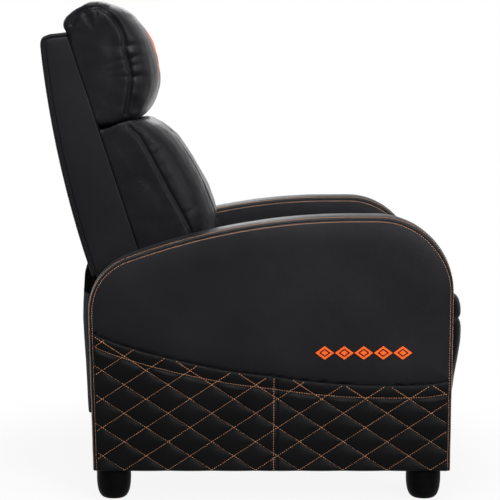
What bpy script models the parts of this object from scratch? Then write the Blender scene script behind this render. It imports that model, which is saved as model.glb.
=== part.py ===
"""Push-back reclining sofa for one person, with padded arms and a folding footrest.

Metres, +Z up.  The sitter faces -Y, the sitter's left is +X, and Z is 0 at the floor.
Side outlines are written as (forward, height), with forward measured towards the front from
a line under the sitter's hips.  The function depth() turns it into Y, which is 0 in the
middle between the foremost and the rearmost point.
"""

import math

import bmesh
import bpy
from mathutils import Matrix, Vector

# Clearances
GAP = 0.0003               # between faces that touch
PIN_PLAY = 0.0004          # between a pin and the hole it turns in
LOOSE_PLAY = 0.0013        # at the far end of a closed linkage

# Play between the inner face of an arm and what lies between the arms, a side
BACK_PLAY = 0.005
SEAT_PLAY = 0.006
FOOTREST_PLAY = 0.008
SEAT_FRAME_PLAY = 0.015
SKIRT_PLAY = 0.029

# Arms
ARM_INNER = 0.255          # inner face of an arm, from the middle
ARM_THICKNESS = 0.088
ARM_FRONT = 0.4035
ARM_FRONT_FOOT = 0.4015    # front edge at the bottom
ARM_REAR = -0.331
ARM_REAR_FOOT = -0.323     # rear edge at the bottom
ARM_REAR_TURN = 0.370      # height where the rear edge is furthest back
ARM_CROWN = 0.5793         # highest point of the arm
ARM_CROWN_APEX = 0.200     # where the long top curve starts to fall
ARM_CROWN_RADIUS = 1.300
ARM_NOSE_RADIUS = 0.155
ARM_TAIL_RADIUS = 0.120
CORNER = 0.004             # least rounding of an inner corner
BAND_DEPTH = 0.014         # padded strip round the arm
BAND_CROWN = 0.002
BAND_ROUND = 0.007
BAND_LIP = 0.0005          # how far the strip's edge bends in before it rounds
PANEL_THICKNESS = 0.012    # padded inner and outer panels
ARM_RAIL = 0.045           # wooden rails and posts of the arm frame
ARM_POST = 0.042           # middle post and the upright seam in front of it

# Quilted lower panel of an arm
QUILT_BASE = 0.0027
QUILT_PUFF = 0.0040
QUILT_LENGTH = 0.088       # long diagonal of a diamond
QUILT_HEIGHT = 0.058       # short diagonal of a diamond
QUILT_CROSS_FORWARD = -0.082
QUILT_CROSS_HEIGHT = 0.1815
QUILT_TOP_REAR = (-0.3165, 0.341)
QUILT_TOP_MIDDLE = (-0.040, 0.265)
QUILT_TOP_LOW = (0.270, 0.238)
QUILT_TOP_RISE = (0.360, 0.238)
QUILT_TOP_FRONT = 0.247
QUILT_SETBACK = 0.002      # front edge behind the strip's edge
QUILT_COLUMNS = range(-7, 13)
QUILT_ROWS = range(-7, 7)
QUILT_TRIM = 0.020         # outside the arm's face, clear of the swelling

# Feet
FOOT_HEIGHT = 0.062
FOOT_RADIUS = 0.035
FOOT_BASE_RADIUS = 0.014
FOOT_SHOULDER = 0.034      # height where the foot starts to curve in
FOOT_REAR = -0.281
FOOT_FRONT = 0.350
STUD_RADIUS = 0.004
STUD_LENGTH = 0.026

# Steel plates of the mechanism
PLATE = 0.004
PLATE_PLAY = 0.001
PIN_RADIUS = 0.005
SHAFT_RADIUS = 0.006
TUBE_RADIUS = 0.008
LINK_HALF = 0.011          # half the width of a link
FLANGE = 0.020             # width of a folded edge

# Base rails and the swing links that carry the seat
RAIL_REAR = -0.272
RAIL_FRONT = 0.250
RAIL_RISE = 0.014          # bottom of a rail above the top of the feet
RAIL_HEIGHT = 0.096
RAIL_NOSE_HEIGHT = 0.045   # the rail is lower in front of the links
RAIL_STEP = 0.100
RAIL_NOSE_ROUND = 0.012
RAIL_STEP_ROUND = 0.030
RAIL_TAIL_ROUND = 0.014
SWING_FOOT = -0.235        # rear swing pivot
SWING_RISE = 0.074         # swing pivots above the bottom of the rail
SWING_SPACING = 0.265
SWING_LENGTH = 0.1086
SWING_LEAN = math.radians(33.27)
CROSS_RAIL_DEPTH = 0.034
CROSS_RAIL_EDGE = 0.002    # rounding of its long edges
CROSS_RAIL_HEIGHT = 0.030
CROSS_RAIL_FRONT = 0.050
CROSS_RAIL_REAR = -0.205

# Back hinge and the link that ties the back to the base
BACK_PIVOT = (-0.232, 0.420)
RECLINE_CRANK = (-0.0128, -0.0403)
ANCHOR_FORWARD = -0.1452
ANCHOR_RISE = 0.0278       # above the bottom of the rail
RECLINE_RANGE = math.radians(50.0)
BOLT_FLAT = 0.010          # radius over the corners of head and nut
BOLT_HEAD = 0.0035
BOLT_NUT = 0.0045
BOLT_END = 0.003           # thread past the bracket

# Footrest linkage, folded
DRIVE_PIVOT = (0.2559, 0.3180)
SUPPORT_OFFSET = (-0.0340, -0.0294)
DRIVE_ANGLE = math.radians(-130.83)
DRIVE_LENGTH = 0.2336
DRIVE_TO_CROSSING = 0.1736
REACH_ANGLE = math.radians(41.39)
REACH_FRONT = 0.2500
REACH_REAR = 0.0433

# Seat
SEAT_BEHIND = 0.042        # back pivot to the rear of the seat frame
SEAT_AHEAD = 0.0361        # footrest drive pivot to the front of the seat frame
DRIVE_HEADROOM = 0.0223    # footrest drive pivot to the bottom of the seat frame
PLATE_MARGIN = 0.016       # steel round a pivot
PLATE_NOSE = 0.008         # front edge of a side plate behind the seat frame's
SEAT_FRAME_HEIGHT = 0.0447
SEAT_RAIL = 0.038
SEAT_THICKNESS = 0.0808
SEAT_CROWNING = 0.015      # rise of the crown over the edges
SEAT_FALL = 0.120          # length over which the crown falls to the nose
SEAT_NOSE_STEP = 0.008
SEAT_CUSHION_SETBACK = 0.002
SEAT_NOSE_REACH = 0.063    # nose in front of the step over the footrest
NOSE_CLEARANCE = 0.005     # over the footrest
SHOULDER_CLEARANCE = 0.009 # behind the footrest board
SEAT_CUSHION_SHAPE = (0.72, 0.012, 0.012, 0.60)
SPRING_COUNT = 3
SPRING_WIRE = 0.0018
SPRING_SPREAD = 0.024
SPRING_WAVES = 8
SPRING_PITCH = 0.130
SPRING_INSET = 0.015       # ends of a spring inside the frame
SPRING_BEND = ((0.0, 0.12), (0.85, 0.12), (1.0, 0.5), (0.85, 0.88))   # shares of spread and wave

# Footrest
BOARD_AHEAD = 0.01505      # upper pivot to the rear of the board
BOARD_ABOVE = 0.04806      # upper pivot to the top of the board
BOARD_THICKNESS = 0.015
BOARD_HEIGHT = 0.270
BOARD_INSET = 0.011        # footrest board inside the ends of its cushion
FOOTREST_DEPTH = 0.0797
FOOTREST_CAP = 0.015       # cushion over the top of the board
FOOTREST_SKIRT = 0.008     # cushion under the bottom of the board
FOOTREST_SEAM = 0.059      # seam below the top
FOOTREST_SEAM_DIP = 0.003
FOOTREST_SHAPE = (0.55, 0.02, 0.02, 0.74)
FOOTREST_BELLY = ((0.65, 0.162), (0.825, 0.440), (0.95, 0.718), (1.0, 0.910))   # shares out and up
CUSHION_END_STEPS = 6      # cross-sections where an end turns in
CUSHION_END_POWER = 2.3    # squareness of that turn

# Back
SIDE_PANEL = 0.004
REAR_PANEL = 0.005
BACK_REAR_LOW = (-0.337, 0.478)
SIDE_PANEL_BOTTOM = 0.448
BACK_REAR_MIDDLE = (-0.394, 0.693)
BACK_REAR_HIGH = (-0.429, 0.917)
BACK_FRONT_LOW = (-0.223, 0.478)
BACK_FRONT_HIGH = (-0.376, 0.943)
BACK_TOP_CORNER = (0.004, 0.013)      # from the top of the rear line
BACK_TOP_EDGE = (0.022, 0.003)        # forward of the rear line, and below the front corner
BACK_FRAME_DEPTH = 0.042
BACK_FRAME_BOTTOM = 0.458
BACK_FRAME_TOP = 0.916
BRACKET_SHOULDER = 0.468   # height where a bracket meets the back's frame
BRACKET_TOP = 0.640
BRACKET_HALF = 0.015       # half the width of its upright part
BRACKET_TOE = ((-0.006, -0.016, 0.012), (0.022, -0.006, 0.012))   # round the crank's pin
BRACKET_NECK = (0.019, 0.014, 0.016)  # round the pivot
BACK_STILE = 0.036
BACK_RAIL = 0.055
BACK_WINDOW_SPAN = (-0.60, -0.10)     # behind and in front of the whole frame
STRAP_COUNT = 2
STRAP_WIDTH = 0.050
STRAP_THICKNESS = 0.002
STRAP_LOWEST = 0.570
STRAP_PITCH = 0.150
STRAP_INSET = 0.012        # ends of a strap inside the frame
SKIRT_BOTTOM = 0.4155
SKIRT_THICKNESS = 0.003
SKIRT_RUN = ((0.001, 0.0), (-0.005, 0.2), (-0.008, 1.0))   # forward, and share of the way down
CUSHION_INSET = 0.005      # back cushions inside the faces of the side panels
LUMBAR_CLEARANCE = 0.0082  # over the crown of the seat
LUMBAR_DEPTH = 0.262
LUMBAR_PROFILE = ((0.01, 0.77), (0.12, 0.86), (0.36, 0.935), (0.66, 0.876), (0.95, 0.750),
                  (1.107, 0.55), (1.056, 0.37))
HEADREST_FOOT = 0.740
HEADREST_HEIGHT = 0.269
HEADREST_DEPTH = 0.220
HEADREST_PROFILE = ((0.125, 0.672), (0.19, 0.742), (0.29, 0.80), (0.44, 0.828), (0.70, 0.76), (0.91, 0.575),
                    (0.975, 0.41), (1.0, 0.23), (0.87, -0.012), (0.783, -0.024))
CUSHION_SEAM = 0.002       # between the headrest and the cushion below it
CUSHION_TUCK = 0.012       # headrest behind the top of the back
BACK_CUSHION_SHAPE = (0.66, 0.02, 0.02, 0.50)
HEADREST_SHAPE = (0.68, 0.05, 0.26, 0.50)

# Rear cover between the arms
COVER_TOP = 0.412
COVER_BOTTOM = 0.165
COVER_THICKNESS = 0.004
COVER_REAR = -0.336        # where the cover leaves the arms
COVER_RETURN = -0.316      # front edge of its turned-in sides
COVER_BOW = 0.014
COVER_SWELL = ((0.0, 0.1), (0.2, 0.25), (0.425, 0.5), (0.63, 0.8), (0.77, 1.0), (0.89, 1.0), (1.0, 0.9))
COVER_CORNER = 0.004       # rounding towards the turned-in sides
COVER_SQUARENESS = 8.0     # how far out the cover stays before it turns in

# Layers of plates, outer face from the middle
RAIL_LAYER = ARM_INNER - GAP
SWING_LAYER = RAIL_LAYER - PLATE - PLATE_PLAY
SEAT_LAYER = SWING_LAYER - PLATE - PLATE_PLAY
FIRST_LAYER = SEAT_LAYER - PLATE - PLATE_PLAY
SECOND_LAYER = FIRST_LAYER - PLATE - PLATE_PLAY
THIRD_LAYER = SECOND_LAYER - PLATE - PLATE_PLAY
FOURTH_LAYER = THIRD_LAYER - PLATE - PLATE_PLAY
ARM_OUTER = ARM_INNER + ARM_THICKNESS

# Half widths
BACK_HALF = ARM_INNER - BACK_PLAY
BACK_CUSHION_HALF = BACK_HALF - CUSHION_INSET
SKIRT_HALF = ARM_INNER - SKIRT_PLAY
SEAT_FRAME_HALF = ARM_INNER - SEAT_FRAME_PLAY
SEAT_CUSHION_HALF = ARM_INNER - SEAT_PLAY
FOOTREST_HALF = ARM_INNER - FOOTREST_PLAY
BOARD_HALF = FOOTREST_HALF - BOARD_INSET

# Places that follow from the sizes above
RAIL_BOTTOM = FOOT_HEIGHT + RAIL_RISE
RAIL_TOP = RAIL_BOTTOM + RAIL_HEIGHT
SWING_REAR = (SWING_FOOT, RAIL_BOTTOM + SWING_RISE)
RECLINE_ANCHOR = (ANCHOR_FORWARD, RAIL_BOTTOM + ANCHOR_RISE)
SUPPORT_PIVOT = (DRIVE_PIVOT[0] + SUPPORT_OFFSET[0], DRIVE_PIVOT[1] + SUPPORT_OFFSET[1])
CROSSING = (DRIVE_PIVOT[0] + DRIVE_TO_CROSSING * math.cos(DRIVE_ANGLE),
            DRIVE_PIVOT[1] + DRIVE_TO_CROSSING * math.sin(DRIVE_ANGLE))
UPPER_PIVOT = (CROSSING[0] + REACH_FRONT * math.cos(REACH_ANGLE),
               CROSSING[1] + REACH_FRONT * math.sin(REACH_ANGLE))
BOARD_REAR = UPPER_PIVOT[0] + BOARD_AHEAD
BOARD_TOP = UPPER_PIVOT[1] + BOARD_ABOVE
BOARD_BOTTOM = BOARD_TOP - BOARD_HEIGHT
FOOTREST_REAR = BOARD_REAR + BOARD_THICKNESS + GAP
FOOTREST_FRONT = FOOTREST_REAR + FOOTREST_DEPTH
FOOTREST_TOP = BOARD_TOP + FOOTREST_CAP
SEAT_REAR = BACK_PIVOT[0] + SEAT_BEHIND
SEAT_FRAME_FRONT = DRIVE_PIVOT[0] + SEAT_AHEAD
SEAT_FRAME_BOTTOM = DRIVE_PIVOT[1] + DRIVE_HEADROOM
SEAT_BOTTOM = SEAT_FRAME_BOTTOM + SEAT_FRAME_HEIGHT + 2.0 * GAP + 2.0 * SPRING_WIRE
SEAT_CROWN = SEAT_BOTTOM + SEAT_THICKNESS
SEAT_EDGE = SEAT_CROWN - SEAT_CROWNING
SEAT_SHOULDER = BOARD_REAR - SHOULDER_CLEARANCE
SEAT_NOSE_UNDER = FOOTREST_TOP + NOSE_CLEARANCE
SEAT_NOSE = SEAT_SHOULDER + SEAT_NOSE_REACH
DEPTH_MIDDLE = (FOOTREST_FRONT + BACK_REAR_HIGH[0]) / 2.0

SIDES = (("left", 1), ("right", -1))
CIRCLE_SIDES = 16


# Scene and materials

def clear_scene():
    for item in list(bpy.data.objects):
        bpy.data.objects.remove(item, do_unlink=True)


def new_collection(name):
    group = bpy.data.collections.new(name)
    bpy.context.scene.collection.children.link(group)
    return group


def new_material(name, colour, roughness, metallic=0.0):
    material = bpy.data.materials.new(name)
    material.use_nodes = True
    shader = material.node_tree.nodes["Principled BSDF"]
    shader.inputs["Base Color"].default_value = (*colour, 1.0)
    shader.inputs["Roughness"].default_value = roughness
    shader.inputs["Metallic"].default_value = metallic
    material.diffuse_color = (*colour, 1.0)
    return material


def depth(forward):
    """World Y of a forward distance."""
    return DEPTH_MIDDLE - forward


# Outlines in the side plane

def arc(centre, radius, start, end, steps):
    """Points on a circle between two angles in radians, both ends included."""
    turn = (end - start) / steps
    return [(centre[0] + radius * math.cos(start + turn * i),
             centre[1] + radius * math.sin(start + turn * i)) for i in range(steps + 1)]


def circle(centre, radius, sides=CIRCLE_SIDES):
    return arc(centre, radius, 0.0, math.tau, sides)[:-1]


def rounded(corners, steps=4):
    """A closed outline whose corners (forward, height, radius) are filleted."""
    points = []
    count = len(corners)
    for index, (forward, height, radius) in enumerate(corners):
        here = Vector((forward, height))
        before = Vector(corners[index - 1][:2]) - here
        after = Vector(corners[(index + 1) % count][:2]) - here
        if radius <= 0.0:
            points.append((forward, height))
            continue
        half = before.angle(after) / 2.0
        reach = min(radius / math.tan(half), 0.48 * before.length, 0.48 * after.length)
        fillet = reach * math.tan(half)
        centre = here + (before.normalized() + after.normalized()).normalized() * (fillet / math.sin(half))
        first = here + before.normalized() * reach - centre
        last = here + after.normalized() * reach - centre
        start = math.atan2(first.y, first.x)
        sweep = math.atan2(last.y, last.x) - start
        sweep = (sweep + math.pi) % math.tau - math.pi
        points += arc(centre, fillet, start, start + sweep, steps)
    return points


def through(first, middle, last, steps):
    """Points on the circle through three points, from the first to the last."""
    ax, ay = first
    bx, by = middle
    cx, cy = last
    d = 2.0 * (ax * (by - cy) + bx * (cy - ay) + cx * (ay - by))
    a2, b2, c2 = ax * ax + ay * ay, bx * bx + by * by, cx * cx + cy * cy
    centre = ((a2 * (by - cy) + b2 * (cy - ay) + c2 * (ay - by)) / d,
              (a2 * (cx - bx) + b2 * (ax - cx) + c2 * (bx - ax)) / d)
    start = math.atan2(ay - centre[1], ax - centre[0])
    sweep = math.atan2(cy - centre[1], cx - centre[0]) - start
    sweep = (sweep + math.pi) % math.tau - math.pi
    return arc(centre, math.hypot(ax - centre[0], ay - centre[1]), start, start + sweep, steps)


def capsule(start, end, half, steps=6):
    """The outline of a link with a round end about each pivot."""
    heading = math.atan2(end[1] - start[1], end[0] - start[0])
    quarter = math.pi / 2.0
    return (arc(end, half, heading - quarter, heading + quarter, steps)
            + arc(start, half, heading + quarter, heading + 3.0 * quarter, steps))


def smooth(points, steps=4):
    """A closed Catmull-Rom curve through the points."""
    count = len(points)
    curve = []
    for index in range(count):
        p0, p1, p2, p3 = (Vector(points[(index + k - 1) % count]) for k in range(4))
        for step in range(steps):
            t = step / steps
            point = 0.5 * (2.0 * p1 + (p2 - p0) * t + (2.0 * p0 - 5.0 * p1 + 4.0 * p2 - p3) * t * t
                           + (3.0 * p1 - 3.0 * p2 + p3 - p0) * t ** 3)
            curve.append((point.x, point.y))
    return curve


def flowing(points, steps):
    """An open Catmull-Rom curve through the points."""
    padded_ends = [points[0], *points, points[-1]]
    curve = smooth(padded_ends, steps)
    return curve[steps:-2 * steps + 1]


def offset_towards(pivot, angle, distance):
    return (pivot[0] + distance * math.cos(angle), pivot[1] + distance * math.sin(angle))


# Solids

def weld_and_face_out(mesh):
    body = bmesh.new()
    body.from_mesh(mesh)
    bmesh.ops.remove_doubles(body, verts=body.verts, dist=0.00001)
    bmesh.ops.recalc_face_normals(body, faces=body.faces)
    body.to_mesh(mesh)
    body.free()


def add_mesh(name, mesh, material, group):
    item = bpy.data.objects.new(name, mesh)
    mesh.materials.clear()
    mesh.materials.append(material)
    group.objects.link(item)
    return item


def plate(name, outline, inner, outer, material, group, holes=(), side=1):
    """A flat outline between two distances from the middle, with holes through it."""
    curve = bpy.data.curves.new(name + "_outline", "CURVE")
    curve.dimensions = "2D"
    curve.fill_mode = "BOTH"
    curve.extrude = (outer - inner) / 2.0
    for loop in (outline, *holes):
        spline = curve.splines.new("POLY")
        spline.points.add(len(loop) - 1)
        spline.use_cyclic_u = True
        for point, (forward, height) in zip(spline.points, loop):
            point.co = (forward, height, 0.0, 1.0)
    guide = bpy.data.objects.new(name + "_outline", curve)
    bpy.context.scene.collection.objects.link(guide)
    place = Matrix(((0.0, 0.0, -1.0, side * (inner + outer) / 2.0),
                    (-1.0, 0.0, 0.0, DEPTH_MIDDLE),
                    (0.0, 1.0, 0.0, 0.0),
                    (0.0, 0.0, 0.0, 1.0)))
    guide.matrix_world = place
    bpy.context.view_layer.update()
    depsgraph = bpy.context.evaluated_depsgraph_get()
    mesh = bpy.data.meshes.new_from_object(guide.evaluated_get(depsgraph))
    mesh.name = name
    weld_and_face_out(mesh)
    item = add_mesh(name, mesh, material, group)
    item.matrix_world = guide.matrix_world
    bpy.data.objects.remove(guide, do_unlink=True)
    bpy.data.curves.remove(curve)
    return item


def loft(name, sections, material, group):
    """A closed skin over sections of equal point count, with both ends filled."""
    mesh = bpy.data.meshes.new(name)
    body = bmesh.new()
    rings = [[body.verts.new(point) for point in section] for section in sections]
    count = len(sections[0])
    for ring, following in zip(rings, rings[1:]):
        for i in range(count):
            j = (i + 1) % count
            body.faces.new((ring[i], ring[j], following[j], following[i]))
    body.faces.new(rings[0])
    body.faces.new(rings[-1])
    bmesh.ops.recalc_face_normals(body, faces=body.faces)
    body.to_mesh(mesh)
    body.free()
    mesh.shade_smooth()
    mesh.set_sharp_from_angle(angle=math.radians(35.0))
    return add_mesh(name, mesh, material, group)


def across(x, outline):
    """An outline in the side plane, placed at one distance across the sofa."""
    return [(x, depth(forward), height) for forward, height in outline]


def turned(name, profile, centre, material, group, steps=CIRCLE_SIDES):
    """A profile of (radius, height) from top to bottom, turned about an upright axis."""
    mesh = bpy.data.meshes.new(name)
    mesh.from_pydata([(radius, 0.0, height) for radius, height in profile],
                     [(i, i + 1) for i in range(len(profile) - 1)], [])
    item = add_mesh(name, mesh, material, group)
    item.location = (centre[0], centre[1], 0.0)
    spin = item.modifiers.new("turn", "SCREW")
    spin.steps = steps
    spin.render_steps = steps
    spin.use_merge_vertices = True
    spin.merge_threshold = 0.00005
    return item


def rod(name, centre, radius, start, end, material, group, side=1, sides=CIRCLE_SIDES):
    """A round bar across the sofa, centred on a pivot of the side plane."""
    return plate(name, circle(centre, radius, sides), start, end, material, group, side=side)


def combine(item, tool, operation, cutters):
    """Adds or cuts a helper solid, which leaves the sofa's own collection."""
    for group in list(tool.users_collection):
        group.objects.unlink(tool)
    cutters.objects.link(tool)
    tool.hide_render = True
    tool.display_type = "WIRE"
    change = item.modifiers.new(tool.name, "BOOLEAN")
    change.operation = operation
    change.solver = "EXACT"
    change.object = tool


def soften(item, width, segments=2, angle=40.0):
    edge = item.modifiers.new("edge", "BEVEL")
    edge.width = width
    edge.segments = segments
    edge.limit_method = "ANGLE"
    edge.angle_limit = math.radians(angle)
    item.data.shade_smooth()
    item.data.set_sharp_from_angle(angle=math.radians(angle))


def carry(name, pivot, items, carrier=None):
    """An empty on a joint's axis that carries the pieces of one moving body."""
    empty = bpy.data.objects.new(name, None)
    bpy.context.scene.collection.objects.link(empty)
    empty.empty_display_size = 0.03
    empty.location = (0.0, depth(pivot[0]), pivot[1])
    bpy.context.view_layer.update()
    if carrier is not None:
        empty.parent = carrier
        empty.matrix_parent_inverse = carrier.matrix_world.inverted()
        bpy.context.view_layer.update()
    for item in items:
        item.parent = empty
        item.matrix_parent_inverse = empty.matrix_world.inverted()
    return empty


# Arms

def arm_outline(inset, bottom):
    """The arm's side outline drawn in by an inset, open-ended at its flat bottom."""
    nose = (ARM_FRONT - ARM_NOSE_RADIUS, ARM_CROWN - ARM_NOSE_RADIUS)
    hub = (ARM_CROWN_APEX, ARM_CROWN - ARM_CROWN_RADIUS)
    radius = ARM_CROWN_RADIUS - inset
    rear = ARM_REAR + inset
    tail = max(ARM_TAIL_RADIUS - inset, CORNER)
    reach = rear + tail - hub[0]
    tail_centre = (rear + tail, hub[1] + math.sqrt((radius - tail) ** 2 - reach ** 2))
    meet = math.atan2(tail_centre[1] - hub[1], reach)
    points = [(ARM_FRONT_FOOT - inset, bottom)]
    points += arc(nose, ARM_NOSE_RADIUS - inset, 0.0, math.pi / 2.0, 9)
    points += arc(hub, radius, math.pi / 2.0, meet, 9)
    points += arc(tail_centre, tail, meet, math.pi, 5)[1:]
    points.append((rear, ARM_REAR_TURN))
    points.append((ARM_REAR_FOOT + inset, bottom))
    return points


def quilt_outline():
    """The lower part of the arm's panel, under its long curved upper edge."""
    inset = BAND_DEPTH + GAP
    bottom = FOOT_HEIGHT + GAP
    front = ARM_FRONT - inset - QUILT_SETBACK
    top = through(QUILT_TOP_LOW, QUILT_TOP_MIDDLE, QUILT_TOP_REAR, 10)
    return [(ARM_FRONT_FOOT - inset, bottom), (front, QUILT_TOP_FRONT), QUILT_TOP_RISE, *top,
            (ARM_REAR_FOOT + inset, bottom)]


def quilt_slab(name, inner, side, material, group):
    """A slab whose outer face swells between crossing seams into diamonds."""
    half_length = QUILT_LENGTH / 2.0
    half_height = QUILT_HEIGHT / 2.0
    columns, rows = QUILT_COLUMNS, QUILT_ROWS
    mesh = bpy.data.meshes.new(name)
    body = bmesh.new()
    base = ARM_OUTER + GAP + QUILT_BASE
    face = {}
    back = {}
    for column in columns:
        for row in rows:
            puffed = (column + row) % 2 != 0
            forward = QUILT_CROSS_FORWARD + half_length * column
            height = QUILT_CROSS_HEIGHT + half_height * row
            x = base + (QUILT_PUFF if puffed else 0.0)
            face[column, row] = body.verts.new((side * x, depth(forward), height))
            back[column, row] = body.verts.new((side * inner, depth(forward), height))
    for column in columns[:-1]:
        for row in rows[:-1]:
            corners = [(column, row), (column + 1, row), (column + 1, row + 1), (column, row + 1)]
            seam = 0 if (column + row) % 2 == 0 else 1
            a, b, c, d = corners[seam:] + corners[:seam]
            body.faces.new([face[key] for key in (a, b, c)])
            body.faces.new([face[key] for key in (a, c, d)])
            body.faces.new([back[key] for key in corners])
    last_column, last_row = columns[-1], rows[-1]
    for column in columns[:-1]:
        for row in (rows[0], last_row):
            pair = [(column, row), (column + 1, row)]
            body.faces.new([face[pair[0]], face[pair[1]], back[pair[1]], back[pair[0]]])
    for row in rows[:-1]:
        for column in (columns[0], last_column):
            pair = [(column, row), (column, row + 1)]
            body.faces.new([face[pair[0]], face[pair[1]], back[pair[1]], back[pair[0]]])
    bmesh.ops.recalc_face_normals(body, faces=body.faces)
    body.to_mesh(mesh)
    body.free()
    return add_mesh(name, mesh, material, group)


def build_arm(side_name, side, finish, group, cutters):
    inset = BAND_DEPTH + GAP
    bottom = FOOT_HEIGHT + GAP
    inner = ARM_INNER + PANEL_THICKNESS + GAP
    outer = ARM_OUTER - PANEL_THICKNESS - GAP
    middle = (ARM_INNER + ARM_OUTER) / 2.0

    window_bottom = bottom + ARM_RAIL
    ring = arm_outline(inset + ARM_RAIL, window_bottom)
    edge_front = ARM_POST + ARM_RAIL / 2.0
    edge_rear = ARM_POST - ARM_RAIL / 2.0
    top_front = [point for point in ring if point[0] > edge_front]
    top_rear = [point for point in ring if point[0] < edge_rear]
    hub_height = ARM_CROWN - ARM_CROWN_RADIUS
    radius = ARM_CROWN_RADIUS - inset - ARM_RAIL

    def under_crown(forward):
        return (forward, hub_height + math.sqrt(radius ** 2 - (forward - ARM_CROWN_APEX) ** 2))

    windows = ([*top_front, under_crown(edge_front), (edge_front, window_bottom)],
               [(edge_rear, window_bottom), under_crown(edge_rear), *top_rear])
    frame = plate("arm_frame_" + side_name, arm_outline(inset, bottom), inner, outer,
                  finish["wood"], group, holes=windows, side=side)
    stud_end = bottom + STUD_LENGTH + CORNER
    for place in (FOOT_REAR, FOOT_FRONT):
        socket = turned("stud_socket_%s_%d" % (side_name, place > 0),
                        [(0.0, stud_end), (STUD_RADIUS + PIN_PLAY, stud_end),
                         (STUD_RADIUS + PIN_PLAY, FOOT_SHOULDER), (0.0, FOOT_SHOULDER)],
                        (side * middle, depth(place)), finish["wood"], group)
        combine(frame, socket, "DIFFERENCE", cutters)

    panel = arm_outline(inset, bottom)
    outer_panel = plate("arm_outer_panel_" + side_name, panel, ARM_OUTER - PANEL_THICKNESS, ARM_OUTER,
                        finish["leather"], group, side=side)
    inner_panel = plate("arm_inner_panel_" + side_name, panel, ARM_INNER, ARM_INNER + PANEL_THICKNESS,
                        finish["leather"], group, side=side)

    section = [(ARM_INNER, BAND_DEPTH), (ARM_INNER + BAND_LIP, BAND_ROUND),
               (ARM_INNER + BAND_ROUND, BAND_CROWN), (middle, 0.0),
               (ARM_OUTER - BAND_ROUND, BAND_CROWN), (ARM_OUTER - BAND_LIP, BAND_ROUND),
               (ARM_OUTER, BAND_DEPTH)]
    outlines = [across(side * x, arm_outline(inset_here, bottom)) for x, inset_here in section]
    band = loft("arm_band_" + side_name, list(zip(*outlines)), finish["leather"], group)

    quilt = quilt_slab("arm_quilted_panel_" + side_name, ARM_OUTER + GAP, side, finish["leather"], group)
    trim = plate("quilt_trim_" + side_name, quilt_outline(), ARM_OUTER - QUILT_TRIM, ARM_OUTER + QUILT_TRIM,
                 finish["leather"], group, side=side)
    combine(quilt, trim, "INTERSECT", cutters)

    feet = []
    for end, place in (("front", FOOT_FRONT), ("rear", FOOT_REAR)):
        bell = [(FOOT_BASE_RADIUS + (FOOT_RADIUS - FOOT_BASE_RADIUS) * out, FOOT_SHOULDER * (1.0 + down))
                for out, down in arc((0.0, 0.0), 1.0, 0.0, -math.pi / 2.0, 5)]
        profile = [(0.0, bottom + STUD_LENGTH), (STUD_RADIUS, bottom + STUD_LENGTH),
                   (STUD_RADIUS, FOOT_HEIGHT), (FOOT_RADIUS, FOOT_HEIGHT), *bell, (0.0, 0.0)]
        feet.append(turned("foot_%s_%s" % (end, side_name), profile, (side * middle, depth(place)),
                           finish["foot"], group))
    return [frame, outer_panel, inner_panel, band, quilt, *feet]


# Base rails and swing links

def swing_tip(foot):
    return (foot[0] - SWING_LENGTH * math.sin(SWING_LEAN), foot[1] + SWING_LENGTH * math.cos(SWING_LEAN))


def swing_feet():
    return (SWING_REAR, (SWING_REAR[0] + SWING_SPACING, SWING_REAR[1]))


def build_base(finish, group, cutters):
    for side_name, side in SIDES:
        holes = [circle(foot, SHAFT_RADIUS + PIN_PLAY) for foot in swing_feet()]
        holes.append(circle(RECLINE_ANCHOR, PIN_RADIUS + PIN_PLAY))
        outline = rounded([(RAIL_REAR, RAIL_BOTTOM, 0.0), (RAIL_FRONT, RAIL_BOTTOM, 0.0),
                           (RAIL_FRONT, RAIL_BOTTOM + RAIL_NOSE_HEIGHT, RAIL_NOSE_ROUND),
                           (RAIL_STEP, RAIL_TOP, RAIL_STEP_ROUND), (RAIL_REAR, RAIL_TOP, RAIL_TAIL_ROUND)])
        rail = plate("base_rail_" + side_name, outline, RAIL_LAYER - PLATE, RAIL_LAYER,
                     finish["steel"], group, holes=holes, side=side)
        fold = plate("base_fold_" + side_name,
                     [(RAIL_REAR, RAIL_BOTTOM), (RAIL_FRONT, RAIL_BOTTOM),
                      (RAIL_FRONT, RAIL_BOTTOM + PLATE), (RAIL_REAR, RAIL_BOTTOM + PLATE)],
                     RAIL_LAYER - FLANGE, RAIL_LAYER - PLATE / 2.0, finish["steel"], group, side=side)
        combine(rail, fold, "UNION", cutters)
    half = RAIL_LAYER - PLATE - GAP
    low = RAIL_BOTTOM + PLATE + GAP
    for end, place in (("front", CROSS_RAIL_FRONT), ("rear", CROSS_RAIL_REAR)):
        near, far = place - CROSS_RAIL_DEPTH / 2.0, place + CROSS_RAIL_DEPTH / 2.0
        high = low + CROSS_RAIL_HEIGHT
        bar = plate(end + "_cross_rail", [(near, low), (far, low), (far, high), (near, high)],
                    -half, half, finish["wood"], group)
        soften(bar, CROSS_RAIL_EDGE, 1)


def cover_path(bow, rear, half, steps=16):
    """A level line round the cover: a turned-in side, the bowed rear and the other side."""
    path = [(-half, COVER_RETURN)]
    for i in range(steps + 1):
        share = -1.0 + 2.0 * i / steps
        corner = COVER_CORNER * abs(share) ** 20
        path.append((share * half, rear + corner - bow * (1.0 - abs(share) ** COVER_SQUARENESS)))
    path.append((half, COVER_RETURN))
    return path


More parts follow.
